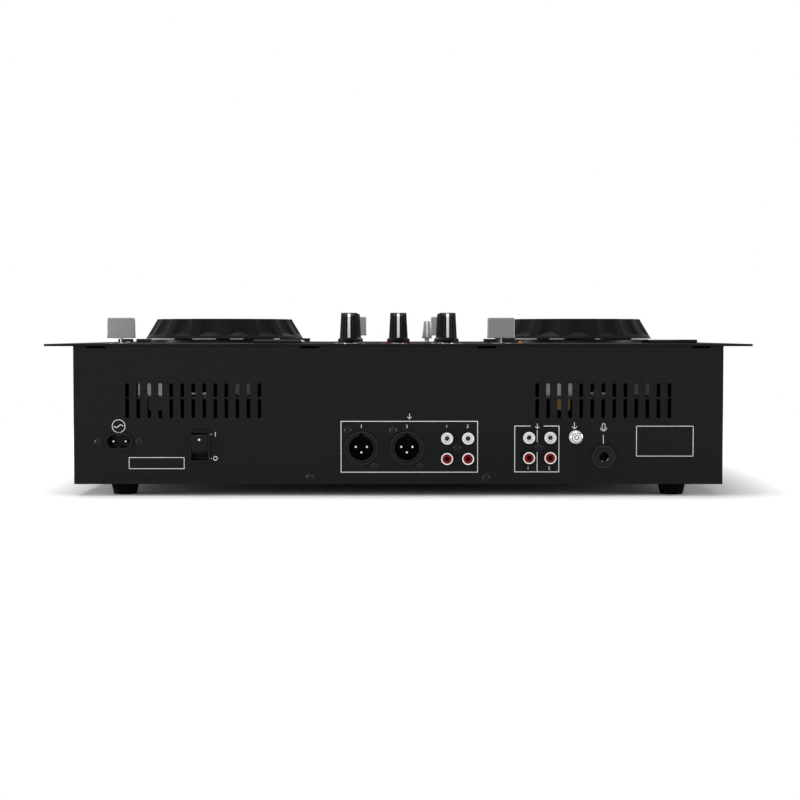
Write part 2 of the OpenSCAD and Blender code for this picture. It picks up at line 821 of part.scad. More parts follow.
// The earth screw: a stud through the panel, a washer and a fluted head.
module earth_screw() {
  washer_t = 0.8;
  flute_r = 0.45;
  flutes = 20;
  bar_y(earth_x, earth_z, earth_post_r, rear_in - 8, rear_y + washer_t);
  bar_y(earth_x, earth_z, earth_r + 0.3, rear_y, rear_y + washer_t);
  difference() {
    translate([earth_x, rear_y + washer_t, earth_z]) rotate([-90, 0, 0]) rotate_extrude()
      polygon([[0, 0], [earth_r - 1, 0], [earth_r - 1, 1], [earth_r, 1.4],
               [earth_r, earth_len - washer_t - 0.6], [earth_r - 0.6, earth_len - washer_t],
               [0, earth_len - washer_t]]);
    for (i = [0 : flutes - 1])
      bar_y(earth_x + earth_r * cos(i * 360 / flutes), earth_z + earth_r * sin(i * 360 / flutes),
            flute_r, rear_y + washer_t, rear_y + earth_len + over);
  }
}

module xlr_sockets() {
  mouth = rear_y + xlr_proud;
  flange_x = 13;
  flange_z = 15.5;
  notch = 1.4;
  color("#1b1b1d")
    for (x = [xlr_x1, xlr_x2])
      difference() {
        union() {
          bar_y(x, xlr_z, xlr_r, mouth - xlr_deep - 5, mouth);
          block([x - flange_x, rear_in - socket_flange_t, xlr_z - flange_z],
                [x + flange_x, rear_in, xlr_z + flange_z]);
        }
        bar_y(x, xlr_z, xlr_bore_r, mouth - xlr_deep, mouth + over);
        block([x - notch, mouth - xlr_deep, xlr_z], [x + notch, mouth + over, xlr_z + xlr_bore_r + notch]);
      }
}

// A black moulding behind the panel with a collar through it for each jack.
module rca_block(jacks) {
  xs = [for (j = jacks) j[0]];
  zs = [for (j = jacks) j[1]];
  difference() {
    union() {
      block([min(xs) - rca_margin, rear_in - rca_block_deep, min(zs) - rca_margin],
            [max(xs) + rca_margin, rear_in, max(zs) + rca_margin]);
      for (j = jacks)
        bar_y(j[0], j[1], rca_r + rca_collar, rear_in - 1, rear_y + rca_collar_proud);
    }
    for (j = jacks)
      bar_y(j[0], j[1], rca_r + shaft_gap, rear_in - rca_seat, rear_y + over);
  }
}

module rca_blocks() {
  color("#151516") {
    rca_block(OUT_JACKS);
    rca_block(IN_JACKS);
  }
}

module rca_shells() {
  tip = rear_y + rca_len;
  root = rear_in - rca_seat;
  color("#d6d6d6")
    for (j = concat(OUT_JACKS, IN_JACKS))
      difference() {
        bar_y(j[0], j[1], rca_r, root, tip);
        bar_y(j[0], j[1], rca_in_r, root - over, tip + over);
      }
}

// Insulators of the jacks in one row: the upper row is white and the lower row red.
module rca_inserts(upper) {
  tip = rear_y + rca_len - rca_tip_gap;
  root = rear_in - rca_seat;
  for (j = concat(OUT_JACKS, IN_JACKS))
    if ((j[1] > (out_z1 + out_z2) / 2) == upper)
      difference() {
        bar_y(j[0], j[1], rca_in_r - shaft_gap, root, tip);
        bar_y(j[0], j[1], rca_hole_r, root + 2, tip + over);
      }
}
module rca_inserts_white() {
  color("#e8e8e4") rca_inserts(true);
}
module rca_inserts_red() {
  color("#b0222c") rca_inserts(false);
}

// A 6.35 mm jack: a body behind the panel, a ring and a washer in front. dir points out of the case.
module jack(x, z, face_y, dir) {
  in_y = face_y - dir * sheet_t;
  deep_y = in_y - dir * jack_deep;
  tip_y = face_y + dir * nut_proud;
  wash_y = face_y + dir * jack_nut_t;
  bore_y = deep_y + dir * 2;
  difference() {
    union() {
      block([x - jack_body_w / 2, min(in_y, deep_y), z - jack_body_w / 2],
            [x + jack_body_w / 2, max(in_y, deep_y), z + jack_body_w / 2]);
      bar_y(x, z, jack_ring_r, min(in_y, tip_y), max(in_y, tip_y));
      bar_y(x, z, jack_nut_r, min(face_y, wash_y), max(face_y, wash_y));
    }
    bar_y(x, z, jack_bore_r, min(bore_y, tip_y + dir * over), max(bore_y, tip_y + dir * over));
  }
}

module jack_sockets() {
  color("#161617") {
    jack(mic_x, mic_z, rear_y, 1);
    jack(0, phones_z, front_y, -1);
  }
}

// ---- Mains switch ----

module switch_frame() {
  hw = switch_w / 2;
  hh = switch_h / 2;
  cavity_hw = rocker_hw + rocker_side_gap;
  cavity_hh = hh - frame_rim;
  color("#171718") translate([switch_x, 0, switch_z]) difference() {
    union() {
      block([-hw, rear_y, -hh], [hw, rear_y + bezel_t, hh]);
      block([-hw + frame_step, rear_y - switch_deep, -hh + frame_step],
            [hw - frame_step, rear_y, hh - frame_step]);
    }
    block([-cavity_hw, rocker_pivot_y - rocker_r - 0.6, -cavity_hh],
          [cavity_hw, rear_y + bezel_t + over, cavity_hh]);
    bar_x(rocker_pivot_y, 0, pivot_r + shaft_gap, -rocker_hw - pivot_len - 0.1,
          rocker_hw + pivot_len + 0.1);
  }
}

// The rocker rests with its lower end pressed in, which is off.
module power_rocker() {
  rise = rocker_r * tan(rocker_tilt);
  color("#202022") translate([switch_x, rocker_pivot_y, switch_z]) rotate([-rocker_tilt, 0, 0]) {
    intersection() {
      bar_x(0, 0, rocker_r, -rocker_hw, rocker_hw);
      translate([-rocker_hw, 0, 0]) rotate([90, 0, 90]) linear_extrude(height = rocker_w)
        polygon([[-rocker_back, -rocker_r], [rocker_face + rise, -rocker_r], [rocker_face, 0],
                 [rocker_face + rise, rocker_r], [-rocker_back, rocker_r]]);
    }
    bar_x(0, 0, pivot_r, -rocker_hw - pivot_len, rocker_hw + pivot_len);
  }
}

// ---- Deck tops ----

// A sloped window that stands on the plate, higher at the rear.
module display_windows() {
  edge = 0.8;
  y1 = rear_y - display_back;
  y0 = y1 - display_l;
  color("#0c0c0f") decks()
    translate([display_left, 0, plate_top]) rotate([90, 0, 90]) linear_extrude(height = display_w)
      polygon([[y0, 0], [y1, 0], [y1, display_rear_h - edge], [y1 - edge, display_rear_h],
               [y0 + edge, display_front_h], [y0, display_front_h - edge]]);
}

// The fixed ring under each jog wheel, with the bearing tube that goes down through the plate.
module jog_rings() {
  groove_in = 13;
  groove_out = ring_r - 8;
  groove_d = ring_h / 2;
  bore_r = jog_shaft_r + shaft_gap;
  color("#19191b") decks()
    translate([0, jog_y, plate_top]) rotate_extrude()
      polygon([[bore_r, -hub_deep], [hub_r, -hub_deep], [hub_r, 0], [ring_r, 0], [ring_r, ring_h - 0.5],
               [ring_r - 0.5, ring_h], [groove_out, ring_h], [groove_out, ring_h - groove_d],
               [groove_in, ring_h - groove_d], [groove_in, ring_h], [bore_r, ring_h]]);
}

// A jog wheel: a conical wall with scallops along its slope, on a web, a hub and a shaft.
module jog_rim(side) {
  band_top = jog_lift + skirt_edge;
  skirt_top = band_top + skirt_rise;
  scallop_at = jog_r - scallop_d + scallop_r / cos(jog_tilt);
  scallop_l = jog_h / cos(jog_tilt) + scallop_r;
  turn = side < 0 ? jog_turn_left : jog_turn_right;
  web_top = jog_web_z + jog_web_t;
  wheel_z = -hub_deep - wheel_gap;
  color("#2a2a2d") translate([side * deck_dx, jog_y, plate_top]) {
    difference() {
      rotate_extrude()
        polygon([[0, jog_web_z], [jog_wall_r, jog_web_z], [jog_wall_r, jog_lift], [jog_r, jog_lift],
                 [jog_top_r, jog_h - jog_edge], [jog_top_r - jog_edge, jog_h], [jog_seat_r, jog_h],
                 [jog_seat_r, web_top], [0, web_top]]);
      for (i = [0 : scallop_n - 1])
        rotate([0, 0, (i + 0.5) * 360 / scallop_n + turn])
          translate([scallop_at, 0, jog_lift]) rotate([0, -jog_tilt, 0])
            bar_z(0, 0, scallop_r, -scallop_r, scallop_l);
    }
    rotate_extrude()
      polygon([[jog_wall_r, jog_lift], [jog_r, jog_lift], [jog_r - jog_slope * skirt_edge, band_top],
               [scallop_floor(skirt_top) - over, skirt_top], [jog_wall_r, skirt_top]]);
    bar_z(0, 0, hub_r + 1, ring_h + run_gap, jog_web_z + jog_web_t / 2);
    bar_z(0, 0, jog_shaft_r, wheel_z - wheel_t, jog_web_z);
    bar_z(0, 0, wheel_r, wheel_z - wheel_t, wheel_z);
  }
}

// The disc set into the top of a jog wheel, with a finger dimple.
module jog_plate(side) {
  z0 = plate_top + jog_web_z + jog_web_t;
  r = jog_seat_r - 0.4;
  color("#333336") translate([side * deck_dx, jog_y, z0]) difference() {
    rotate_extrude()
      polygon([[0, 0], [r, 0], [r, jog_plate_t - 0.6], [r - 0.6, jog_plate_t], [0, jog_plate_t]]);
    translate([0, -dimple_at, jog_plate_t + dimple_r - dimple_d]) sphere(r = dimple_r);
  }
}

// ---- Knobs, faders and buttons ----

// A fluted knob with its shaft, and a facet on the pointer's side; h is its top's height above the plate.
module knob(x, y, h) {
  facet_in = 2;
  z0 = plate_top + knob_gap;
  top = h - knob_gap;
  flute_r = 1.1;
  flute_at = knob_body_r - 0.1;
  edge = 0.8;
  color("#222224") translate([x, y, 0]) {
    difference() {
      translate([0, 0, z0]) rotate_extrude()
        polygon([[0, 0], [knob_skirt_r - 0.6, 0], [knob_skirt_r, 0.6], [knob_skirt_r, knob_skirt_h - 0.6],
                 [knob_body_r, knob_skirt_h], [knob_top_r, top - edge], [knob_top_r - edge, top],
                 [0, top]]);
      for (i = [0 : flute_n - 1])
        rotate([0, 0, 90 + (i + 0.5) * 360 / flute_n])
          bar_z(flute_at, 0, flute_r, z0 + knob_skirt_h + 0.4, z0 + top + over);
      translate([-knob_skirt_r, 0, z0]) rotate([90, 0, 90]) linear_extrude(height = 2 * knob_skirt_r)
        polygon([[facet_in, top], [knob_body_r, top - facet_d], [knob_body_r + over, top - facet_d],
                 [knob_body_r + over, top + over], [facet_in, top + over]]);
    }
    bar_z(0, 0, knob_shaft_r, case_top - shaft_in, z0 + 1);
  }
}

// The end view of a fader cap: a small flare at the foot and round upper corners.
module cap_outline(h) {
  hw = cap_w / 2;
  flare = 0.25;
  r = 0.8;
  polygon([[-hw, 0], [hw, 0], [hw, 1.2], [hw - flare, 3], [hw - flare, h - r], [hw - flare - r, h],
           [flare + r - hw, h], [flare - hw, h - r], [flare - hw, 3], [-hw, 1.2]]);
  for (s = [-1, 1])
    translate([s * (hw - flare - r), h - r]) circle(r = r);
}

// A cap that is wide along x and slides along y, standing at z = 0.
module wide_cap(h) {
  hl = cap_l / 2;
  top_hl = hl - 1.2;
  dish = 0.9;
  intersection() {
    translate([0, hl, 0]) rotate([90, 0, 0]) linear_extrude(height = cap_l) cap_outline(h);
    translate([-cap_w / 2, 0, 0]) rotate([90, 0, 90]) linear_extrude(height = cap_w)
      polygon([[-hl, 0], [hl, 0], [hl, 1.2], [top_hl, h], [1, h], [0, h - dish], [-1, h],
               [-top_hl, h], [-hl, 1.2]]);
  }
}

// The crossfader's cap: bell-shaped from the front, and it slides along x.
module bell_cap() {
  w = cross_cap_w / 2;
  h = cross_cap_h;
  hl = cross_cap_l / 2;
  intersection() {
    translate([0, hl, 0]) rotate([90, 0, 0]) linear_extrude(height = cross_cap_l)
      polygon([[-w, 0], [w, 0], [w, 0.8], [0.92 * w, 2.4], [0.83 * w, 5], [0.73 * w, 9],
               [0.64 * w, h - 0.6],
               [0.5 * w, h], [-0.5 * w, h], [-0.64 * w, h - 0.6], [-0.73 * w, 9], [-0.83 * w, 5],
               [-0.92 * w, 2.4], [-w, 0.8]]);
    translate([-w, 0, 0]) rotate([90, 0, 90]) linear_extrude(height = cross_cap_w)
      polygon([[-hl, 0], [hl, 0], [hl, 1], [hl - 1.5, h - 1], [hl - 2.5, h], [2.5 - hl, h],
               [1.5 - hl, h - 1], [-hl, 1]]);
  }
}

// The stem of a fader and the shoe that slides in its pot; the stem's thin side lies along x.
module stem(cap_gap) {
  foot = case_top - stem_deep;
  block([-stem_t / 2, -stem_w / 2, foot], [stem_t / 2, stem_w / 2, plate_top + cap_gap + 2]);
  block([-shoe_w / 2, -shoe_l / 2, foot], [shoe_w / 2, shoe_l / 2, foot + shoe_h]);
}

module pitch_fader(side) {
  color("#8c8c8e") translate([side * deck_dx + pitch_dx, pitch_y, 0]) {
    translate([0, 0, plate_top + pitch_cap_gap]) wide_cap(cap_h);
    stem(pitch_cap_gap);
  }
}

module channel_fader(side) {
  color("#8c8c8e") translate([side * channel_dx, channel_y - channel_rest, 0]) {
    translate([0, 0, plate_top + mixer_cap_gap]) wide_cap(cap_h);
    stem(mixer_cap_gap);
  }
}

module crossfader() {
  color("#8c8c8e") translate([cross_rest, cross_y, 0]) {
    translate([0, 0, plate_top + cross_cap_gap]) bell_cap();
    rotate([0, 0, 90]) stem(cross_cap_gap);
  }
}

// A slide pot below the plate, with the track that its fader's shoe runs in, along y.
module slide_pot(travel) {
  track_hl = (travel + shoe_l) / 2 + 1;
  track_hw = shoe_w / 2 + run_gap;
  body_hl = track_hl + track_end;
  difference() {
    block([-pot_w / 2, -body_hl, board_top], [pot_w / 2, body_hl, case_top]);
    block([-track_hw, -track_hl, case_top - stem_deep - run_gap], [track_hw, track_hl, case_top + over]);
  }
}

module slide_pots() {
  color("#9a9a98") {
    decks() translate([pitch_dx, pitch_y, 0]) slide_pot(pitch_travel);
    for (s = [-1, 1])
      translate([s * channel_dx, channel_y, 0]) slide_pot(channel_travel);
    translate([0, cross_y, 0]) rotate([0, 0, 90]) slide_pot(cross_travel);
  }
}

// A rotary pot below the plate: its bush and nut come through, and the knob's shaft turns in it.
module rotary_pot(x, y) {
  translate([x, y, 0]) difference() {
    union() {
      rounded_block(pot_body_w, pot_body_w, board_top, case_top, 1);
      bar_z(0, 0, bush_r, case_top - 1, plate_top + pot_nut_h);
      bar_z(0, 0, pot_nut_r, plate_top, plate_top + pot_nut_h);
    }
    bar_z(0, 0, knob_shaft_r + shaft_gap, case_top - shaft_in - run_gap, plate_top + over);
  }
}

module rotary_pots() {
  color("#a8a8a5") {
    for (k = KNOBS)
      rotary_pot(k[1], row_y(k[2]));
    decks() rotary_pot(select_dx, select_y);
  }
}

// A push button: its cap comes up through the plate and its flange stays below.
module button(b, side) {
  flange_top = case_top - flange_gap;
  foot_r = min(b[4] / 2, dome_r);
  color("#2c2c2f") translate([side * deck_dx + b[1], b[2], 0]) {
    rounded_block(b[3], b[4], flange_top - flange_t, plate_top + button_up, 1);
    rounded_block(b[3] + 2 * flange_out, b[4] + 2 * flange_out, flange_top - flange_t, flange_top, 1);
    bar_z(0, 0, foot_r, button_foot, flange_top - flange_t / 2);
  }
}

// A soft pad on the board below each button, with a dome that the button presses.
module keypads() {
  dome_top = button_foot - button_travel - press_gap;
  pad_out = 2;
  color("#6f7276") decks()
    for (b = BUTTONS)
      translate([b[1], b[2], 0]) {
        rounded_block(b[3] + pad_out, b[4] + pad_out, board_top, board_top + pad_t, 1);
        translate([0, 0, board_top + pad_t]) cylinder(r1 = dome_r, r2 = dome_r - 0.8,
                                                      h = dome_top - board_top - pad_t);
      }
}

// ---- Boards ----

// Posts from the floor that carry a board, near its corners; x and v hold its ends, z its lower face.
module board_posts(x, v, z) {
  for (px = [x[0] + post_in, x[1] - post_in])
    for (pv = [v[0] + post_in, v[1] - post_in])
      bar_z(px, rear_y - pv, post_r, floor_top, z + board_t / 2);
}

module deck_board() {
  y0 = front_y + board_margin;
  y1 = rear_y - board_margin;
  lcd_edge = 4 + fit_gap;
  z0 = board_top - board_t;
  difference() {
    block([-deck_board_w / 2, y0, z0], [deck_board_w / 2, y1, board_top]);
    bar_z(0, jog_y, hub_r + 4, z0 - over, board_top + over);
  }
  block([display_left + lcd_edge, rear_y - display_back - display_l + lcd_edge, board_top],
        [display_left + display_w - lcd_edge, rear_y - display_back - lcd_edge, plate_top - fit_gap]);
}

// A main board seen through the vents, with its screening cans and a connector below.
module main_board() {
  z0 = main_board_z;
  z1 = main_board_z + board_t;
  block([-main_board_w / 2, rear_y - main_board_v[1], z0],
        [main_board_w / 2, rear_y - main_board_v[0], z1]);
  for (b = BOARD_BOXES)
    block([b[0], rear_y - b[1] - b[3], z1], [b[0] + b[2], rear_y - b[1], z1 + b[4]]);
  p = BOARD_PLUG;
  block([p[0], rear_y - p[1] - p[3], z0 - p[4]], [p[0] + p[2], rear_y - p[1], z0]);
  board_posts([-main_board_w / 2, main_board_w / 2], main_board_v, z0);
}

module power_supply() {
  x0 = psu_x[0];
  y1 = rear_y - psu_v[0];
  z1 = psu_z + board_t;
  t = TRANSFORMER;
  sink_y = y1 - SINK[1];
  fin_pitch = (SINK[2] - sink_t) / (sink_fins - 1);
  block([x0, rear_y - psu_v[1], psu_z], [psu_x[1], y1, z1]);
  board_posts(psu_x, psu_v, psu_z);
  block([x0 + t[0], y1 - t[1] - t[3], z1], [x0 + t[0] + t[2], y1 - t[1], z1 + t[4]]);
  for (c = PSU_CANS)
    bar_z(x0 + c[0], y1 - c[1], c[2], z1, z1 + c[3]);
  block([x0 + SINK[0], sink_y - SINK[2], z1], [x0 + SINK[0] + sink_t, sink_y, z1 + SINK[3]]);
  for (i = [0 : sink_fins - 1])
    block([x0 + SINK[0] + sink_t / 2, sink_y - SINK[2] + i * fin_pitch, z1 + sink_t],
          [x0 + SINK[0] + sink_t + SINK[4], sink_y - SINK[2] + i * fin_pitch + sink_t, z1 + SINK[3]]);
}

module circuit_boards() {
  color("#1d5a33") {
    decks() deck_board();
    decks() main_board();
    block([-mixer_board_w / 2, front_y + board_margin, board_top - board_t],
          [mixer_board_w / 2, rear_y - board_margin, board_top]);
    power_supply();
  }
}

// ---- Disc drives ----

module drive_frame() {
  wall_in = tray_w / 2 + run_gap;
  rail_top = tray_z + tray_t + tray_gap + ledge_t;
  window_y0 = rod_y0 + 1;
  window_y1 = rod_y1 - 1;
  difference() {
    union() {
      block([-frame_hw, frame_y0, frame_z], [frame_hw, frame_y1, frame_top]);
      for (s = [-1, 1])
        scale([s, 1, 1]) {
          block([wall_in, frame_y0, frame_z], [frame_hw, frame_y1, rail_top]);
          block([wall_in - edge_w, frame_y0, tray_z - tray_gap - ledge_t],
                [frame_hw, frame_y1, tray_z - tray_gap]);
          block([wall_in - edge_w + run_gap, frame_y0, rail_top - ledge_t], [frame_hw, frame_y1, rail_top]);
          block([wall_in, disc_y - bridge_l / 2, frame_z],
                [frame_hw, disc_y + bridge_l / 2, bridge_z + bridge_t]);
        }
      block([-frame_hw, disc_y - bridge_l / 2, bridge_z],
            [frame_hw, disc_y + bridge_l / 2, bridge_z + bridge_t]);
      bar_z(0, disc_y, clamp_r, disc_z + 3.2, bridge_z + bridge_t);
      bar_z(0, disc_y, motor_r, frame_z, frame_top + motor_h);
      bar_z(gear_dx, gear_y, gear_post_r + 3, frame_z, gear_top - gear_h - 0.3);
      bar_z(gear_dx, gear_y, gear_post_r, frame_z, gear_top + 0.3);
      for (s = [-1, 1]) {
        bar_y(s * rod_dx, rod_z, rod_r, rod_y0 - rod_post, rod_y1 + rod_post);
        for (y = [rod_y0 - rod_post, rod_y1])
          block([s * rod_dx - 3, y, frame_z], [s * rod_dx + 3, y + rod_post, rod_z + 3]);
        for (y = [frame_y0 + 10, frame_y1 - 10])
          bar_z(s * (frame_hw - 8), y, 4, floor_top, frame_z + 1);
      }
    }
    bar_z(0, disc_y, spindle_r + shaft_gap, frame_top + 1, bridge_z - 1);
    block([-pickup_hw, window_y0, frame_z - over], [pickup_hw, window_y1, frame_top + over]);
  }
}

module drive_frames() {
  color("#3b3b3e") decks() drive_frame();
}

// The rack's teeth and back, seen from above, from the gear's first tooth space to the rear.
module rack_outline() {
  tip = gear_m * tan(20);
  half = rack_pitch / 4 - backlash / 4;
  root = 1.25 * gear_m * tan(20);
  y0 = gear_y - 1.5 * rack_pitch;
  y1 = gear_y + (rack_teeth - 1.5) * rack_pitch;
  back = rack_line - 1.25 * gear_m;
  polygon(concat(
    [[back - rack_back, y0]],
    [for (i = [-1 : rack_teeth - 2]) for (p = [[back, -half - root], [rack_line + gear_m, -half + tip],
                                              [rack_line + gear_m, half - tip], [back, half + root]])
      [p[0], gear_y + i * rack_pitch + p[1]]],
    [[back - rack_back, y1]]
  ));
}

module disc_tray(side) {
  hw = tray_w / 2;
  rim_hw = hw - edge_w;
  y1 = front_y + tray_l;
  face = front_y - tray_front_gap;
  front_hw = slot_hw + tray_lip;
  front_lo = slot_lo - tray_lip;
  front_hi = slot_hi + tray_lip;
  edge = 0.8;
  small_disc_r = 40.75;
  color("#2d2d30") translate([side * deck_dx, 0, 0]) {
    difference() {
      union() {
        block([-hw, face, tray_z], [hw, y1, tray_z + tray_t]);
        block([-rim_hw, face, tray_z], [rim_hw, y1, tray_top]);
      }
      bar_z(0, disc_y, well_r, well_floor, tray_top + over);
      bar_z(0, disc_y, small_disc_r, well_floor - 0.8, tray_top + over);
      bar_z(0, disc_y, hub_slot_hw, tray_z - over, tray_top + over);
      block([-hub_slot_hw, disc_y, tray_z - over], [hub_slot_hw, y1 + over, tray_top + over]);
    }
    translate([-front_hw, 0, 0]) rotate([90, 0, 90]) linear_extrude(height = 2 * front_hw)
      polygon([[face, front_lo], [face, front_hi], [face - tray_front_t + edge, front_hi],
               [face - tray_front_t, front_hi - edge], [face - tray_front_t, front_lo + edge],
               [face - tray_front_t + edge, front_lo]]);
    translate([0, 0, tray_z - rack_h]) linear_extrude(height = rack_h + tray_t / 2) rack_outline();
  }
}

// A gear that drives the rack. Its first tooth space faces the rack at rest.
module tray_gear(side) {
  half = rack_pitch / 4 - backlash / 4;
  root_r = pitch_r - 1.25 * gear_m;
  tip_r = pitch_r + gear_m;
  root_a = (half + 0.3 * gear_m) / root_r * 180 / PI;
  mid_a = half / pitch_r * 180 / PI;
  tip_a = (half - 0.5 * gear_m) / tip_r * 180 / PI;
  color("#d8d4c4") translate([side * deck_dx + gear_dx, gear_y, gear_top - gear_h]) difference() {
    linear_extrude(height = gear_h)
      polygon([for (i = [0 : gear_n - 1]) for (p = [[root_r, -root_a], [pitch_r, -mid_a], [tip_r, -tip_a],
                                                   [tip_r, tip_a], [pitch_r, mid_a], [root_r, root_a]])
        p[0] * [cos((i + 0.5) * 360 / gear_n + p[1]), sin((i + 0.5) * 360 / gear_n + p[1])]]);
    translate([0, 0, -over]) cylinder(r = gear_post_r + shaft_gap, h = gear_h + 2 * over);
  }
}

// A turntable that the disc sits on, with a centring hub and a spindle in the motor.
module turntable(side) {
  hub_h = 2.6;
  disc_t = 2;
  motor_top = frame_top + motor_h;
  color("#26262a") translate([side * deck_dx, disc_y, 0]) {
    translate([0, 0, disc_z]) rotate_extrude()
      polygon([[0, -disc_t], [turntable_r - 0.5, -disc_t], [turntable_r, 0.5 - disc_t], [turntable_r, 0],
               [disc_hole_r, 0], [disc_hole_r, 1.2], [disc_hole_r - 1.5, hub_h], [0, hub_h]]);
    bar_z(0, 0, 4, motor_top + run_gap, disc_z - disc_t / 2);
    bar_z(0, 0, spindle_r, frame_top + 1.5, disc_z);
  }
}

// The pickup: a block on two rods with a lens that looks up through the tray.
module pickup(side) {
  hl = pickup_l / 2;
  z0 = frame_top + 1;
  z1 = tray_z - 2;
  arm = 4;
  color("#4a4c50") translate([side * deck_dx, pickup_y, 0]) {
    difference() {
      union() {
        block([-pickup_hw, -hl, z0], [pickup_hw, hl, z1]);
        block([-rod_dx - arm, -hl + 2, rod_z - arm + 1], [rod_dx + arm, hl - 2, rod_z + arm - 1]);
      }
      bar_y(-rod_dx, rod_z, rod_r + shaft_gap, -hl - over, hl + over);
      bar_y(rod_dx, rod_z, rod_r + 4 * shaft_gap, -hl - over, hl + over);
      block([rod_dx, -hl, rod_z - rod_r - 4 * shaft_gap],
            [rod_dx + arm + over, hl, rod_z + rod_r + 4 * shaft_gap]);
    }
    bar_z(0, 0, lens_r + 2, z1 - 1, z1 + 1.2);
    bar_z(0, 0, lens_r, z1 - 1, z1 + 2.4);
  }
}

// ---- The nodes ----

top_plate();
base_pan();
rear_panel();
front_panel();
rubber_feet();
case_screws();
panel_screws();
mains_inlet();
contacts();
xlr_sockets();
rca_blocks();
rca_shells();
rca_inserts_white();
rca_inserts_red();
jack_sockets();
switch_frame();
power_rocker();
display_windows();
jog_rings();
circuit_boards();
slide_pots();
rotary_pots();
drive_frames();
keypads();
crossfader();
for (s = SIDES) {
  jog_rim(s[1]);
  jog_plate(s[1]);
  disc_tray(s[1]);
  tray_gear(s[1]);
  turntable(s[1]);
  pickup(s[1]);
  pitch_fader(s[1]);
  channel_fader(s[1]);
  knob(s[1] * deck_dx + select_dx, select_y, select_h);
  for (b = BUTTONS)
    button(b, s[1]);
}
for (k = KNOBS)
  knob(k[1], row_y(k[2]), knob_h);
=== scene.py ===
import math

import bpy
import numpy as np
from bpy.props import FloatProperty, FloatVectorProperty, IntProperty, PointerProperty
from bpy.types import Operator, Panel, PropertyGroup
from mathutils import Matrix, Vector


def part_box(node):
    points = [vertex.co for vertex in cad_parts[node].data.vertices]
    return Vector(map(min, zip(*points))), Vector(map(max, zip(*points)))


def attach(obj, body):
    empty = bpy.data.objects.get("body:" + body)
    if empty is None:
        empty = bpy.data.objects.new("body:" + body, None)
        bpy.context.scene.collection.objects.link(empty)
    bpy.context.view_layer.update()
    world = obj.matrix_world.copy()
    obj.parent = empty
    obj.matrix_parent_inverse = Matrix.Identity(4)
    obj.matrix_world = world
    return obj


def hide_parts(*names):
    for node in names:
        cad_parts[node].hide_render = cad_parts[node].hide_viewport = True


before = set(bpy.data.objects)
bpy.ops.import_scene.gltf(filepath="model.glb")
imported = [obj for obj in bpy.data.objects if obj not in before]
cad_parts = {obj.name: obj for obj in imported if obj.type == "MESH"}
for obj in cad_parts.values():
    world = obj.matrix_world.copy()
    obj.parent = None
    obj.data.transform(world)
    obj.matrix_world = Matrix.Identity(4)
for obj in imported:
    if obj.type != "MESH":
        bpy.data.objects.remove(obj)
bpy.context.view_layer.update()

bl_info = {
    "name": "Disc Deck Console",
    "version": (1, 0, 0),
    "blender": (4, 5, 0),
    "location": "View3D > Sidebar > Console",
    "description": "Dresses a twin disc player and mixer console: wheels, knobs, faders, print and stage",
    "category": "Add Mesh",
}

MM = 0.001
SHANK_RADIUS = 1.4 * MM      # of every screw
SCREW_REACH = 7 * MM         # points nearer than this belong to one screw
SIDES = ("left", "right")
MIXER_KNOBS = ("knob_gain_left", "knob_master", "knob_gain_right", "knob_treble_left",
               "knob_treble_right", "knob_bass_left", "knob_bass_right")
TRACK_KNOBS = ("track_knob_left", "track_knob_right")
BUTTONS = ("play_button", "cue_button", "eject_button", "bend_down", "bend_up")


def low(node):
    """Lowest corner of a CAD node as an array."""
    return np.array(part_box(node)[0])


def high(node):
    """Highest corner of a CAD node as an array."""
    return np.array(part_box(node)[1])


def middle(node):
    """Middle of a CAD node's box as an array."""
    return (low(node) + high(node)) / 2


def spread(node):
    """A CAD node's lowest and highest corners, and the x and y of its middle."""
    lo, hi = low(node), high(node)
    x, y = (lo[:2] + hi[:2]) / 2
    return lo, hi, x, y


PLATE_TOP = high("top_plate")[2]
REAR_FACE = high("rear_panel")[1]


# ---- Sizes and colours that a user would change ----

def length(name, description, default):
    """A size in metres, given in millimetres."""
    return FloatProperty(name=name, description=description, default=default * MM, unit="LENGTH",
                         precision=5)


def colour(name, description, default):
    """A linear colour."""
    return FloatVectorProperty(name=name, description=description, default=default, subtype="COLOR",
                               size=3, min=0, max=1)


def number(name, description, default):
    """A plain number."""
    return FloatProperty(name=name, description=description, default=default)


def angle(name, description, degrees):
    """An angle, given in degrees."""
    return FloatProperty(name=name, description=description, default=math.radians(degrees), subtype="ANGLE")


class SheetSettings(PropertyGroup):
    paint: colour("Paint", "Powder coat on the steel sheet", (0.0086, 0.0089, 0.0099))
    paint_light: colour("Paint, light", "Lighter flecks in the powder coat", (0.0182, 0.0186, 0.0202))
    grain: number("Grain", "Strength of the coat's fine texture", 0.35)
    screw_cross: length("Screw cross", "Length of a screw's cross recess", 3.0)


class PrintSettings(PropertyGroup):
    ink: colour("Ink", "Screen-printed white", (0.90, 0.90, 0.89))
    line: length("Line", "Width of the rear frames", 0.46)
    thin: length("Thin line", "Width of marks and ticks", 0.38)
    film: length("Film", "Thickness of the ink", 0.06)


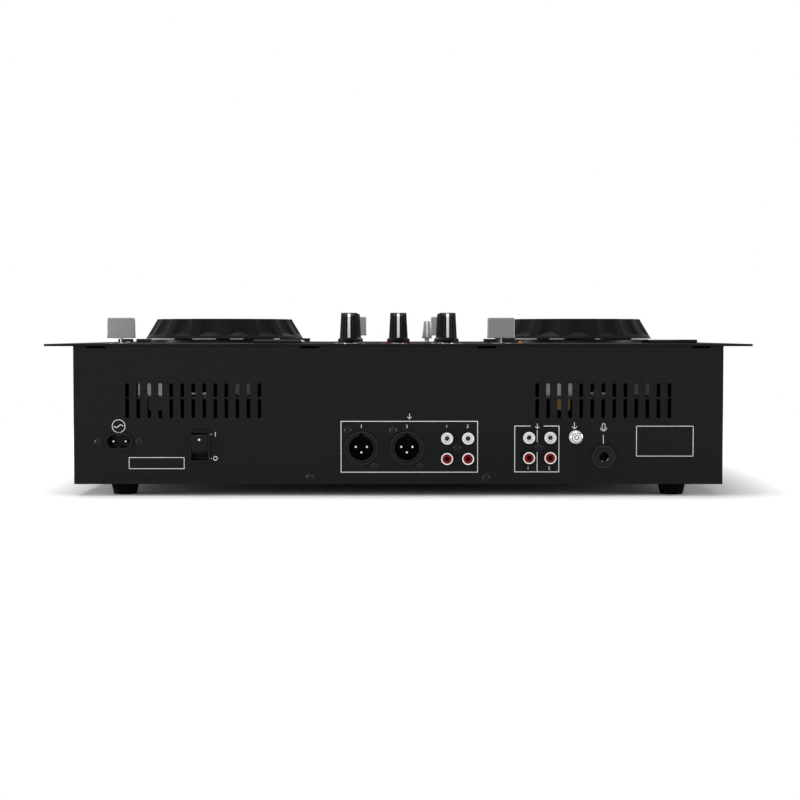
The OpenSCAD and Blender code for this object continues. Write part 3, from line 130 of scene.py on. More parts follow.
class JogSettings(PropertyGroup):
    scallops: IntProperty(name="Scallops", description="Finger scallops round a wheel", default=16)
    scallop_radius: length("Scallop radius", "Radius of one scallop", 14.0)
    scallop_depth: length("Scallop depth", "Depth of a scallop at the foot, measured level", 3.6)
    scallop_lean: number("Scallop lean", "Lean of the scallops as a share of the wall's", 0.88)
    turn_left: angle("Left turn", "Rest angle of the left wheel", 10)
    turn_right: angle("Right turn", "Rest angle of the right wheel", 5.5)
    top_radius: length("Top radius", "Radius at the top", 54.7)
    top_edge: length("Top edge", "Radius of the top's outer edge", 1.0)
    lift: length("Lift", "Height of the lower edge above the plate", 3.0)
    band: length("Band", "Height of the uncut band below the scallops", 2.4)
    band_rise: length("Band rise", "Height that the scallops' floors gain inwards", 2.9)
    wall: length("Wall", "Thickness of the wall behind a scallop at the web", 3.0)
    web: length("Web", "Height of the web's underside above the plate", 11.5)
    seat: length("Seat radius", "Radius of the recess for the disc", 47.0)
    blend: length("Blend", "Softness of the scallops' edges", 0.8)
    dimple_at: length("Dimple", "Distance of the finger dimple from the wheel's axis", 33.0)
    dimple_radius: length("Dimple radius", "Radius of the finger dimple", 7.7)
    dimple_depth: length("Dimple depth", "Depth of the finger dimple", 2.0)
    rubber: colour("Rubber", "Wheel", (0.0056, 0.0057, 0.0063))


class KnobSettings(PropertyGroup):
    flutes: IntProperty(name="Flutes", description="Grooves round a knob", default=18)
    flute_depth: length("Flute depth", "Depth of a groove", 0.42)
    gap: length("Gap", "Gap between a knob and the plate", 0.9)
    skirt_height: length("Skirt height", "Height of the skirt", 3.0)
    body_radius: length("Body radius", "Radius above the skirt", 6.7)
    top_radius: length("Top radius", "Radius at the top", 5.75)
    top_edge: length("Top edge", "Radius of the top's edge", 0.7)
    facet_in: length("Facet start", "Distance of the facet's upper end from the axis", 2.0)
    facet_depth: length("Facet depth", "Fall of the facet on the pointer's side", 3.5)
    shaft_radius: length("Shaft radius", "Radius of the shaft", 3.0)
    pointer: length("Pointer", "Width of the white pointer line", 1.85)
    pointer_end: length("Pointer end", "Distance along the facet from its upper edge to the pointer", 0.9)
    black: colour("Black", "Knob", (0.0034, 0.0034, 0.0039))


class FaderSettings(PropertyGroup):
    height: length("Height", "Height of a wide cap", 15.2)
    cross_height: length("Crossfader height", "Height of the crossfader's cap", 15.1)
    corner: length("Corner", "Radius of a cap's upright corners", 0.9)
    shoulder: length("Shoulder", "Radius of a wide cap's upper corners", 0.9)
    lean: length("Lean", "How far a wide cap's long sides lean in", 1.2)
    flare: length("Flare", "How far the foot stands out", 0.25)
    dish: length("Dish", "Depth of the hollow across the top", 0.9)
    grey: colour("Grey", "Cap", (0.31, 0.31, 0.315))
    line: length("Line", "Width of the white centre line", 1.25)


class TrimSettings(PropertyGroup):
    socket_left: length("First socket", "Place of the output socket at +x", 25.2)
    socket_right: length("Second socket", "Place of the other output socket", -5.85)
    socket_height: length("Socket height", "Height of the output sockets", 32.7)
    socket_radius: length("Socket radius", "Radius of an output socket", 11.4)
    bore_radius: length("Bore radius", "Radius of an output socket's bore", 8.45)
    jack: length("Jack", "Place of the jack", -139.8)
    jack_height: length("Jack height", "Height of the jack", 26.8)
    # The nut's and the collar's rings are lighter than the moulding: painted highlights on their edges.
    nut_radius: length("Nut radius", "Radius of the jack's nut", 8.4)
    nut_face: length("Nut face", "How far the nut's worn edge stands out", 1.56)
    collar_radius: length("Collar radius", "Radius of the jack's collar", 5.35)
    collar_face: length("Collar face", "How far the collar's worn edge stands out", 3.05)
    # The contacts are drawn only as two short arcs where glints fall: painted highlights.
    contact_radius: length("Contact radius", "Radius on which the jack's contacts show", 3.1)
    contact_face: length("Contact face", "How far the contacts stand out", 2.7)
    earth: length("Earth screw", "Place of the earth screw", -120.7)
    earth_height: length("Earth screw height", "Height of the earth screw", 40.3)
    earth_length: length("Earth screw length", "How far its head stands out", 8.0)


class SwitchSettings(PropertyGroup):
    pivot_depth: length("Pivot depth", "Depth of the rocker's pivot behind the panel's face", 2.0)
    wall: length("Wall", "Frame's rim and gap beside the rocker", 1.8)
    reach: length("Reach", "Radius that the rocker's ends swing on", 9.15)
    break_at: length("Break", "Depth below the pivot at which the flat face ends", 3.3)
    pin: length("Pin", "Radius of the pivot pins", 1.0)
    dot: length("Dot", "Radius of the white dot", 0.8)
    dot_height: length("Dot height", "Height of the dot above the pivot", 4.7)


class StageSettings(PropertyGroup):
    camera_distance: length("Camera distance", "From the rear panel to the camera", 1080.0)
    camera_above: length("Camera height", "Camera above the top plate", 7.2)
    camera_right: length("Camera offset", "Camera right of the middle", -1.16)
    pitch: angle("Pitch", "Downward tilt of the camera", 2.4)
    lens: number("Lens", "Focal length in mm on a 36 mm sensor", 71.5)
    floor: colour("Floor", "Pale floor", (0.86, 0.86, 0.86))
    floor_reach: length("Floor reach", "Half the floor's width", 14000.0)
    white: number("White floor", "Reflectance near the object as the camera sees it", 1.12)
    fade_start: length("Fade start", "Distance at which the floor starts to fade to plain white", 380.0)
    fade_end: length("Fade end", "Distance from which the floor is plain white", 900.0)
    key: number("Key lamp", "Power of the top lamp in watts", 30.0)
    left: number("Left lamp", "Power of the low lamp at +x in watts", 18.0)
    right: number("Right lamp", "Power of the low lamp at -x in watts", 16.0)
    rear: number("Rear lamp", "Power of the lamp that faces the sockets, in watts", 15.0)
    front: number("Front lamp", "Power of the lamp that faces the trays, in watts", 9.0)


SETTINGS = {
    "console_sheet": SheetSettings, "console_print": PrintSettings, "console_jog": JogSettings,
    "console_knob": KnobSettings, "console_fader": FaderSettings, "console_switch": SwitchSettings,
    "console_trim": TrimSettings, "console_stage": StageSettings,
}


# ---- Surfaces ----

def grid(points, wrap=False, start_pole=False, end_pole=False):
    """Faces over a grid of points: rows follow the profile and columns go round or across it.
    wrap joins the last column to the first; a pole closes the first or last row at its middle."""
    rows, cols = points.shape[:2]
    index = np.arange(rows * cols).reshape(rows, cols)
    right = np.roll(index, -1, axis=1) if wrap else index[:, 1:]
    left = index if wrap else index[:, :-1]
    quads = np.stack([left[:-1], right[:-1], right[1:], left[1:]], axis=-1).reshape(-1, 4)
    verts = points.reshape(-1, 3)
    tris = np.zeros((0, 3), int)
    for wanted, row, turn in ((start_pole, 0, 1), (end_pole, -1, -1)):
        if wanted:
            pole = np.full(left[row].size, len(verts))
            fan = np.stack([pole, right[row], left[row]], axis=-1)[:, ::turn]
            verts = np.vstack([verts, points[row].mean(axis=0)])
            tris = np.vstack([tris, fan])
    return verts, quads, tris


def outward(shape):
    """Turns a closed shape's faces outwards, by the sign of its volume."""
    verts, quads, tris = shape
    every = np.vstack([quads[:, [0, 1, 2]], quads[:, [0, 2, 3]], tris])
    a, b, c = (verts[every[:, i]] for i in range(3))
    if np.einsum("ij,ij->i", a, np.cross(b, c)).sum() < 0:
        return verts, quads[:, ::-1], tris[:, ::-1]
    return shape


def merge(shapes):
    """Several shapes as one."""
    verts, quads, tris, base = [], [], [], 0
    for v, q, t in shapes:
        verts.append(v)
        quads.append(q + base)
        tris.append(t + base)
        base += len(v)
    return np.vstack(verts), np.vstack(quads), np.vstack(tris)


def piece(name, shape, material, body, smooth=True, nodes=(), sharp=None):
    """Puts a shape into a mesh object that rides on a CAD body and may stand for CAD nodes.
    Edges that turn by more than sharp degrees stay sharp in a smooth piece."""
    verts, quads, tris = shape
    mesh = bpy.data.meshes.new(name)
    mesh.vertices.add(len(verts))
    mesh.vertices.foreach_set("co", verts.astype(np.float32).ravel())
    loops = np.concatenate([quads.ravel(), tris.ravel()])
    starts = np.concatenate([np.arange(len(quads)) * 4, len(quads) * 4 + np.arange(len(tris)) * 3])
    mesh.loops.add(len(loops))
    mesh.loops.foreach_set("vertex_index", loops)
    mesh.polygons.add(len(starts))
    mesh.polygons.foreach_set("loop_start", starts)
    mesh.polygons.foreach_set("use_smooth", np.full(len(starts), smooth))
    mesh.update(calc_edges=True)
    mesh.validate()
    if sharp:
        mesh.set_sharp_from_angle(angle=math.radians(sharp))
    mesh.materials.append(material)
    obj = bpy.data.objects.new(name, mesh)
    bpy.context.scene.collection.objects.link(obj)
    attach(obj, body)
    if nodes:
        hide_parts(*nodes)


def closed_loft(points):
    """A closed surface over a stack of outlines, shut at both ends and turned outwards."""
    return outward(grid(points, wrap=True, start_pole=True, end_pole=True))


def ring_angles(count):
    """Even angles round a circle, as a row."""
    return np.linspace(0, 2 * math.pi, count, endpoint=False)[None, :]


def revolve(profile, count=64, centre=(0, 0, 0)):
    """A closed surface of revolution about z: (r, z) pairs from one point on the axis to the other."""
    r, z = np.array(profile, float).T[:, :, None]
    a = ring_angles(count)
    points = np.stack([r * np.cos(a), r * np.sin(a), z + 0 * a], axis=-1) + np.array(centre)
    return closed_loft(points)


def rounded(profile, radius, steps=3):
    """A polyline whose inner corners are replaced by short quadratic curves of about that radius."""
    p = np.array(profile, float)
    out = [p[0]]
    t = np.linspace(0, 1, steps + 2)[:, None]
    for before, corner, after in zip(p[:-2], p[1:-1], p[2:]):
        cut = [min(radius, np.linalg.norm(q - corner) * 0.45) for q in (before, after)]
        a = corner + (before - corner) / np.linalg.norm(before - corner) * cut[0]
        b = corner + (after - corner) / np.linalg.norm(after - corner) * cut[1]
        out.extend((1 - t) ** 2 * a + 2 * t * (1 - t) * corner + t ** 2 * b)
    out.append(p[-1])
    return np.array(out)


def ribbon(path, width, up, height, closed=False):
    """A flat strip of ink or inlay: a rectangle carried along a path, with mitred corners.
    up is the direction in which it stands on its ground, by height."""
    p = np.array(path, float)
    up = np.array(up, float)
    if closed:
        ahead, behind = np.roll(p, -1, axis=0) - p, p - np.roll(p, 1, axis=0)
    else:
        step = np.diff(p, axis=0)
        ahead, behind = np.vstack([step, step[-1:]]), np.vstack([step[:1], step])
    ahead /= np.linalg.norm(ahead, axis=1)[:, None]
    behind /= np.linalg.norm(behind, axis=1)[:, None]
    tangent = ahead + behind
    tangent /= np.linalg.norm(tangent, axis=1)[:, None]
    side = np.cross(up, tangent)
    side /= np.maximum(np.einsum("ij,ij->i", tangent, ahead), 0.4)[:, None]
    half = side * width / 2
    rise = up * height
    rows = np.stack([p - half, p + half, p + half + rise, p - half + rise], axis=1)
    if closed:
        rows = np.concatenate([rows, rows[:1]])
        verts, quads, tris = grid(rows, wrap=True)
        count = len(p) * 4
        quads = quads % count
        return outward((verts[:count], quads, tris))
    verts, quads, tris = grid(rows, wrap=True)
    last = len(verts) - 4
    caps = np.array([[3, 2, 1, 0], [last, last + 1, last + 2, last + 3]])
    return outward((verts, np.vstack([quads, caps]), tris))


def rounded_box(x, y, z, w, l, h, corner=0.5 * MM, edge=0.3 * MM, steps=5):
    """A low block with round corners and edges: superposed rounded rectangles, from foot to top."""
    a = np.linspace(0, math.pi / 2, steps)
    quarter = np.stack([np.cos(a), np.sin(a)], axis=-1)
    turns = [quarter, quarter[::-1] * [-1, 1], -quarter, quarter[::-1] * [1, -1]]
    signs = [(1, 1), (-1, 1), (-1, -1), (1, -1)]
    levels = [(0, 0), (h - edge, 0), (h - 0.3 * edge, 0.3 * edge), (h, edge)]
    rows = []
    for rise, inset in levels:
        r = max(corner - inset, 0.02 * MM)
        row = np.concatenate([np.array(s) * [w / 2 - inset - r, l / 2 - inset - r] + t * r
                              for s, t in zip(signs, turns)])
        rows.append(np.column_stack([row, np.full(len(row), rise)]))
    points = np.array(rows) + np.array([x, y, z])
    return closed_loft(points)


# ---- Shader nodes and finishes ----

FINISHES = {}


def feed(tree, node, inputs):
    """Sets a shader node's inputs to values, or links them to the outputs that feed them."""
    for name, value in dict(inputs).items():
        if isinstance(value, bpy.types.NodeSocket):
            tree.links.new(value, node.inputs[name])
        else:
            node.inputs[name].default_value = value
    return node


def add(tree, kind, inputs=(), **settings):
    """Adds a shader node with its settings and its inputs."""
    node = tree.nodes.new(f"ShaderNode{kind}")
    for name, value in settings.items():
        setattr(node, name, value)
    return feed(tree, node, inputs)


def new_material(name):
    """A material with its node tree and its main shader."""
    material = bpy.data.materials.new(name)
    material.use_nodes = True
    return material, material.node_tree, material.node_tree.nodes["Principled BSDF"]


def grain_group():
    """Fine texture of a coat: Height is its relief, Fleck its light specks and Cloud a slow change."""
    name = "surface_grain"
    if name in bpy.data.node_groups:
        return bpy.data.node_groups[name]
    group = bpy.data.node_groups.new(name, "ShaderNodeTree")
    for way, labels in (("INPUT", ("Size", "Cloud size")), ("OUTPUT", ("Height", "Fleck", "Cloud"))):
        for label in labels:
            group.interface.new_socket(label, in_out=way, socket_type="NodeSocketFloat")
    sizes, outlet = group.nodes.new("NodeGroupInput").outputs, group.nodes.new("NodeGroupOutput")
    place = add(group, "TexCoord").outputs["Object"]
    fine = add(group, "TexNoise", {"Vector": place, "Scale": sizes["Size"], "Detail": 3}).outputs["Fac"]
    slow = add(group, "TexNoise",
               {"Vector": place, "Scale": sizes["Cloud size"], "Detail": 4, "Roughness": 0.6})
    fleck = add(group, "MapRange", {"Value": fine, "From Min": 0.5, "From Max": 0.75})
    feed(group, outlet, {"Height": fine, "Fleck": fleck.outputs["Result"], "Cloud": slow.outputs["Fac"]})
    return group


def finish(name, dark, light, rough=(0.4, 0.5), metallic=0.0, specular=0.5, grain=0.2, size=900.0, cloud=18.0,
           relief=0.02, coat=0.0):
    """A material in two close tones: flecks and slow clouds mix them, and the clouds vary the roughness.
    grain is the bump's strength, relief its depth in mm, and size and cloud are the textures' scales."""
    if name in FINISHES:
        return FINISHES[name]
    material, tree, shader = new_material(name)
    FINISHES[name] = material
    grains = add(tree, "Group", {"Size": size, "Cloud size": cloud}, node_tree=grain_group()).outputs
    half = add(tree, "Math", {0: grains["Cloud"], 1: 0.45}, operation="MULTIPLY").outputs["Value"]
    share = add(tree, "Math", {0: grains["Fleck"], 1: 0.55, 2: half}, operation="MULTIPLY_ADD")
    tone = add(tree, "Mix", {"Factor": share.outputs["Value"], "A": (*dark, 1), "B": (*light, 1)},
               data_type="RGBA")
    gloss = add(tree, "MapRange", {"Value": grains["Cloud"], "From Min": 0.3, "From Max": 0.7,
                                   "To Min": rough[0], "To Max": rough[1]})
    bump = add(tree, "Bump", {"Strength": grain, "Distance": relief * MM, "Height": grains["Height"]})
    feed(tree, shader, {"Metallic": metallic, "Coat Weight": coat, "Coat Roughness": 0.08,
                        "Specular IOR Level": specular, "Base Color": tone.outputs["Result"],
                        "Roughness": gloss.outputs["Result"], "Normal": bump.outputs["Normal"]})
    return material


def glowing(name, lens, light, strength):
    """A lamp lens: coloured plastic that glows a little."""
    material = finish(name, lens, tuple(min(1, 1.3 * c) for c in lens), (0.3, 0.4), specular=0.12,
                      grain=0.02)
    feed(material.node_tree, material.node_tree.nodes["Principled BSDF"],
         {"Emission Color": (*light, 1), "Emission Strength": strength})
    return material


def ink_white():
    """Screen-printed white."""
    look = bpy.context.scene.console_print.ink
    return finish("white_ink", tuple(0.94 * c for c in look), tuple(look), (0.45, 0.55), grain=0.05)


def sheet_paint(name, rough, specular):
    """Powder coat on the steel sheet."""
    look = bpy.context.scene.console_sheet
    return finish(name, tuple(look.paint), tuple(look.paint_light), rough, specular=specular,
                  grain=look.grain, size=1500.0, cloud=7.0, relief=0.05)


def knob_plastic():
    """Black plastic of the knobs."""
    black = np.array(bpy.context.scene.console_knob.black)
    return finish("knob_plastic", tuple(0.8 * black), tuple(1.25 * black), (0.36, 0.48), specular=0.05,
                  grain=0.3, size=2600.0, cloud=120.0)


# ---- Jog wheels ----

def soft_min(a, b, k):
    """The smaller of two arrays, blended over a width of k where they cross."""
    h = np.clip(k - np.abs(a - b), 0, None) / k
    return np.minimum(a, b) - h * h * k / 4


def scallop_wall(look, off, z, foot, top):
    """Radius of a wheel's wall: the smaller of a cone and the near wall of a leaning round groove, blended.
    The cone goes from foot to top, which are (radius, height) pairs, and off is the angle from the groove's
    middle. A level cut through the groove is an ellipse, longer along the radius. Its near wall is the
    smaller root of (r cos(off) - axis)^2 / long^2 + (r sin(off))^2 / radius^2 = 1."""
    slope = (foot[0] - top[0]) / (top[1] - foot[1])
    cone = foot[0] - slope * (z - foot[1])
    long = look.scallop_radius * math.hypot(1, slope)
    axis = foot[0] - look.scallop_depth + long - look.scallop_lean * slope * (z - foot[1])
    a = (np.cos(off) / long) ** 2 + (np.sin(off) / look.scallop_radius) ** 2
    b = np.cos(off) * axis / long ** 2
    room = np.clip(b * b - a * ((axis / long) ** 2 - 1), 0, None)
    return soft_min(cone, (b - np.sqrt(room)) / a, look.blend)


def jog_rows(look, radius, height, rest):
    """A wheel as rows from the axis below, out under the band, up the scalloped wall and in over the top.
    Each row is a closed curve round the axis whose radius and height depend on the angle."""
    step = 2 * math.pi / look.scallops
    turn = np.linspace(0, 2 * math.pi, look.scallops * 30, endpoint=False)
    off = (turn - rest) % step - step / 2
    edge, band_top = look.top_edge, look.lift + look.band
    foot, top = (radius, look.lift), (look.top_radius, height - edge)
    slope = (foot[0] - top[0]) / (top[1] - foot[1])
    band_r = radius - slope * look.band
    inner = radius - look.scallop_depth - slope * (look.web - look.lift) - look.wall
    reach = look.scallop_depth + slope * look.band_rise
    meet = band_top + 0 * turn
    for _ in range(25):
        meet = band_top + look.band_rise * (band_r - scallop_wall(look, off, meet, foot, top)) / reach
    meet_r = scallop_wall(look, off, meet, foot, top)
    rows = [(r + 0 * turn, z + 0 * turn) for r, z in (
        (inner * 0.5, look.web), (inner, look.web), (inner, look.lift), (radius - 0.4 * MM, look.lift),
        (radius - 0.05 * MM, look.lift + 0.3 * MM), (band_r + 0.1 * MM, band_top - 0.2 * MM),
        (band_r - 0.1 * MM, band_top + 0.02 * MM))]
    for t in np.linspace(0.1, 1, 7):
        rows.append((band_r + t * (meet_r - band_r), band_top + t * (meet - band_top)))
    for t in np.linspace(0.05, 1, 16):
        z = meet + t * (top[1] - meet)
        rows.append((scallop_wall(look, off, z, foot, top), z))
    crown = rows[-1][0]
    for a in np.linspace(0, math.pi / 2, 6)[1:]:
        rows.append((crown - edge * (1 - math.cos(a)), top[1] + edge * math.sin(a) + 0 * turn))
    rim = rows[-1][0]
    for t in (0.35, 0.7):
        rows.append((rim + t * (look.seat + 1.2 * MM - rim), height + 0 * turn))
    rows += [(look.seat + r + 0 * turn, height - z + 0 * turn) for r, z in (
        (0.5 * MM, 0), (0.15 * MM, 0.15 * MM), (0, 0.5 * MM))]
    return rows, turn


def jog_shell(look, centre, radius, height, rest, seat_floor):
    """The wheel's rows turned round its axis and closed over the floor of the seat."""
    rows, turn = jog_rows(look, radius, height, rest)
    rows += [(r + 0 * turn, seat_floor + 0 * turn) for r in (look.seat, look.seat * 0.5)]
    r, z = (np.array([row[i] for row in rows]) for i in (0, 1))
    points = np.stack([r * np.cos(turn), r * np.sin(turn), z], axis=-1) + np.array(centre)
    return closed_loft(points)


def jog_disc(look, centre, radius, floor, thick):
    """The disc in a wheel's top: fine rings between two plain bands, and a bowl-shaped finger dimple.
    Height = thickness + a cosine of the radius inside the ringed band - a cosine bowl round the dimple."""
    inner, outer, pitch, depth = 24 * MM, 43.2 * MM, 1.2 * MM, 0.16 * MM
    label_radius, label_depth = 20.2 * MM, 0.25 * MM
    r = np.concatenate([[2, 8, 14, 19, 20, 20.4, 21, 23.6], np.arange(24, 43.2, 0.2), [43.6, 45, 45.9]]) * MM
    ringed = (r > inner) & (r < outer)
    z = thick - np.where(ringed, depth * (1 - np.cos(2 * math.pi * (r - inner) / pitch)) / 2, 0)
    z -= np.where(r < label_radius, label_depth, 0)
    edge = np.array([(radius * 0.9, 0), (radius, 0), (radius, thick - 0.6 * MM),
                     (radius - 0.25 * MM, thick - 0.15 * MM), (radius - 0.6 * MM, thick)])
    r = np.concatenate([edge[:, 0], r[::-1]])[:, None]
    z = np.concatenate([edge[:, 1], z[::-1]])[:, None]
    turn = ring_angles(256)
    x, y = r * np.cos(turn), r * np.sin(turn)
    away = np.hypot(x, y + look.dimple_at)
    upper = np.arange(len(r))[:, None] > 3
    bowl = look.dimple_depth * (1 + np.cos(math.pi * np.clip(away / look.dimple_radius, 0, 1))) / 2
    height = z - np.where(upper, bowl, 0)
    height = np.where(upper & (away < look.dimple_radius), np.minimum(height, thick - bowl), height)
    points = np.stack([x, y, height + floor], axis=-1) + np.array([*centre, 0])
    return closed_loft(points)


class CONSOLE_OT_jog_wheels(Operator):
    """Builds both jog wheels: scalloped rims with their hubs, and the ringed discs in their tops"""
    bl_idname = "console.jog_wheels"
    bl_label = "Jog wheels"

    def execute(self, context):
        look = context.scene.console_jog
        rubber = np.array(look.rubber)
        rim_finish = finish("jog_rubber", tuple(0.75 * rubber), tuple(1.2 * rubber), (0.42, 0.55),
                            specular=0.045, grain=0.3, size=1900.0, cloud=40.0, relief=0.03)
        disc_finish = finish("jog_disc", (0.008, 0.008, 0.009), (0.014, 0.014, 0.015), (0.34, 0.42),
                             specular=0.06, grain=0.12, size=2600.0, cloud=50.0)
        hub_profile = np.array([(0, -15), (20, -15), (20, -13.5), (4, -13.5), (4, 2.9), (9, 2.9), (9, 12),
                                (0, 12)])
        for side, rest in (("left", look.turn_left), ("right", look.turn_right)):
            rim, disc, body = f"jog_rim_{side}", f"jog_plate_{side}", f"jog_{side}"
            lo, hi, x, y = spread(rim)
            disc_lo, disc_hi = low(disc), high(disc)
            centre = (x, y, PLATE_TOP)
            wheel = jog_shell(look, centre, (hi[0] - lo[0]) / 2, hi[2] - PLATE_TOP, rest,
                              disc_lo[2] - PLATE_TOP)
            hub = revolve(hub_profile * MM, 64, centre)
            piece(f"jog_wheel_{side}", merge([wheel, hub]), rim_finish, body, nodes=(rim,),
                  sharp=38)
            top = jog_disc(look, (x, y), (disc_hi[0] - disc_lo[0]) / 2, disc_lo[2], disc_hi[2] - disc_lo[2])
            piece(f"jog_disc_{side}", top, disc_finish, body, nodes=(disc,), sharp=50)
        return {"FINISHED"}


# ---- Knobs ----

def facet_height(look, y, top):
    """Height of the sloping facet at a distance y behind the knob's axis: a straight fall from the top."""
    return top - look.facet_depth * (y - look.facet_in) / (look.body_radius - look.facet_in)


def knob_shell(look, centre, skirt_r, height):
    """A fluted knob: rows of a turned profile. Above the skirt, a power of a cosine of the angle cuts flutes.
    Behind the axis no point stands higher than the facet's plane."""
    turn = ring_angles(look.flutes * 12)
    top, skirt, edge = height - look.gap, look.skirt_height, look.top_edge
    slope = (look.body_radius - look.top_radius) / (top - skirt)
    profile = rounded([(3.4 * MM, 0.0), (skirt_r - 0.15 * MM, 0.0), (skirt_r, 0.5 * MM),
                       (skirt_r, skirt - 0.9 * MM), (skirt_r - 0.5 * MM, skirt - 0.35 * MM),
                       (look.body_radius + 0.15 * MM, skirt)], 0.3 * MM, 2)
    climb = np.linspace(0.25 * MM, top - skirt - edge, 22)
    wall = np.column_stack([look.body_radius - slope * climb, skirt + climb])
    arc = np.linspace(0, math.pi / 2, 6)[1:]
    r_top = wall[-1][0]
    crown = np.column_stack([r_top - edge * (1 - np.cos(arc)), top - edge + edge * np.sin(arc)])
    inward = np.linspace(r_top - edge - 0.3 * MM, 0.5 * MM, 12)
    rows = np.vstack([profile, wall, crown, np.column_stack([inward, top + 0 * inward])])
    r, z = rows[:, :1], rows[:, 1:]
    amount = np.clip((z - skirt - 0.2 * MM) / (1.2 * MM), 0, 1) * np.clip((top - z) / (0.9 * MM), 0, 1) ** 0.5
    wave = (0.5 - 0.5 * np.cos(look.flutes * (turn - math.pi / 2))) ** 0.7
    radius = r - look.flute_depth * amount * wave
    x, y = radius * np.cos(turn), radius * np.sin(turn)
    points = np.stack([x, y, np.minimum(z, facet_height(look, y, top)) + look.gap], axis=-1)
    return closed_loft(points + np.array(centre))


def pointer_path(look, centre, height, lift, start):
    """The pointer's run up a knob's rear wall and most of the facet: points and their outward directions.
    The wall meets the facet where its straight line crosses the facet's."""
    top, skirt = height - look.gap, look.skirt_height
    slope = (look.body_radius - look.top_radius) / (top - skirt)
    fall = look.facet_depth / (look.body_radius - look.facet_in)
    corner_y = (look.body_radius - slope * (top - skirt) - slope * fall * look.facet_in) / (1 - slope * fall)
    corner = (corner_y, facet_height(look, corner_y, top))
    first = skirt + start
    end = look.facet_in + look.pointer_end
    line = rounded([(look.body_radius - slope * start, first), corner, (end, facet_height(look, end, top))],
                   0.4 * MM, 3)
    along = np.gradient(line, axis=0)
    out = np.column_stack([along[:, 1], -along[:, 0]])
    out /= np.linalg.norm(out, axis=1)[:, None]
    line = line + out * lift
    zero = np.zeros(len(line))
    path = np.column_stack([zero, line[:, 0], line[:, 1] + look.gap]) + np.array(centre)
    return path, np.column_stack([zero, out[:, 0], out[:, 1]])


def strip(path, outs, width, thick, bow=0.0, across=7):
    """A strip carried along a path in a plane of constant x: its section is a bowed top over a flat back.
    bow is how far the strip's long edges fall behind its middle."""
    u = np.linspace(-1, 1, across)
    front = path[:, None, :] - outs[:, None, :] * (bow * u ** 2)[None, :, None]
    front = front + np.stack([width / 2 * u, 0 * u, 0 * u], axis=-1)[None]
    back = front[:, ::-1] - outs[:, None, :] * thick
    points = np.concatenate([front, back], axis=1)
    return closed_loft(points)


class CONSOLE_OT_knobs(Operator):
    """Builds the fluted knobs of the mixer and the track knobs, with their white pointers"""
    bl_idname = "console.knobs"
    bl_label = "Knobs"

    def execute(self, context):
        look = context.scene.console_knob
        for name in MIXER_KNOBS + TRACK_KNOBS:
            lo, hi, x, y = spread(name)
            height, foot = hi[2] - PLATE_TOP, lo[2] - PLATE_TOP
            centre, shaft_r, shaft_top = (x, y, PLATE_TOP), look.shaft_radius, 1.5 * MM
            shell = knob_shell(look, centre, (hi[0] - lo[0]) / 2, height)
            shaft = revolve([(0, foot), (shaft_r, foot), (shaft_r, shaft_top), (0, shaft_top)], 32, centre)
            piece(f"{name}_cap", merge([shell, shaft]), knob_plastic(), name, nodes=(name,),
                  sharp=40)
            path, out = pointer_path(look, centre, height, 0.05 * MM, 0.4 * MM)
            pointer = strip(path, out, look.pointer, 0.9 * MM, 0.05 * MM)
            piece(f"{name}_pointer", pointer, ink_white(), name, sharp=50)
        return {"FINISHED"}


# ---- Fader caps ----

def cap_loft(outline, half, corner, crown=0.0, stations=7):
    """A cap: its closed end view carried along its length. Towards each end it shrinks round the upright
    corners, half(height) gives the half-length there, and crown rounds the upper corners of the side view.
    Returns points[station, outline, (along, across, up)]."""
    top = outline[:, 1].max()
    middle_point = np.array([0, top * 0.45])
    a = np.linspace(0, math.pi / 2, stations)
    ends = [(1 - np.sin(t), 1 - np.cos(t)) for t in a]
    steps = [(-1, back, inset) for back, inset in ends[::-1]] + [(1, back, inset) for back, inset in ends]
    rows = []
    for sign, back, inset in steps:
        scale = 1 - inset * corner / np.array([np.abs(outline[:, 0]).max(), top])
        section = middle_point + (outline - middle_point) * scale
        section[:, 1] = np.maximum(section[:, 1], 0)
        along = sign * (half(section[:, 1]) - back * corner)
        drop = np.clip(np.abs(along) - (half(top) - crown), 0, crown) if crown else 0 * along
        lower = crown - np.sqrt(np.clip(crown ** 2 - drop ** 2, 0, None))
        rows.append(np.column_stack([along, section[:, 0], section[:, 1] * (1 - lower / top)]))
    return np.array(rows)


def dished_view(half_foot, half_top, height, dish):
    """End view of a wide cap: straight sides that lean in, rounded shoulders and a hollow across the top."""
    u = np.linspace(-1, 1, 15)
    crest = np.column_stack([u * (half_top - 0.5 * MM), height - dish * (1 - u ** 2) ** 2])
    side = np.array([(half_top, height - 0.5 * MM), (half_top + 0.12 * MM, height * 0.8),
                     (half_foot - 0.12 * MM, 1.4 * MM), (half_foot, 0.4 * MM), (half_foot - 0.3 * MM, 0.0)])
    return np.vstack([crest[::-1], side * [-1, 1], (side * [1, 1])[::-1]])


def bell_view(half_foot, height):
    """End view of the crossfader's cap: a bell whose sides curve in from the foot, with a round top."""
    t = np.linspace(0, 1, 12)
    side = np.column_stack([half_foot * (0.64 + 0.36 * (1 - t) ** 1.5), t * (height - 0.7 * MM)])
    side = np.vstack([[half_foot - 0.25 * MM, 0], [half_foot, 0.4 * MM], side[1:]])
    a = np.linspace(0, math.pi / 2, 5)[1:]
    top_half = side[-1][0]
    crown = np.column_stack([top_half - 0.7 * MM * (1 - np.cos(a)), height - 0.7 * MM + 0.7 * MM * np.sin(a)])
    right = np.vstack([side, crown])
    return np.vstack([right, (right * [-1, 1])[::-1]])


def wide_half(look, half):
    """Half-length of a wide cap at a height: full at the foot, less the flare a little above it."""
    return lambda z: half - look.flare * np.clip(z / (2.4 * MM), 0, 1) ** 0.6


def bell_half(look, half):
    """Half-length of the crossfader's cap at a height: it leans in by a power of the height."""
    return lambda z: half - 2.2 * MM * np.clip(z / look.cross_height, 0, 1) ** 1.5


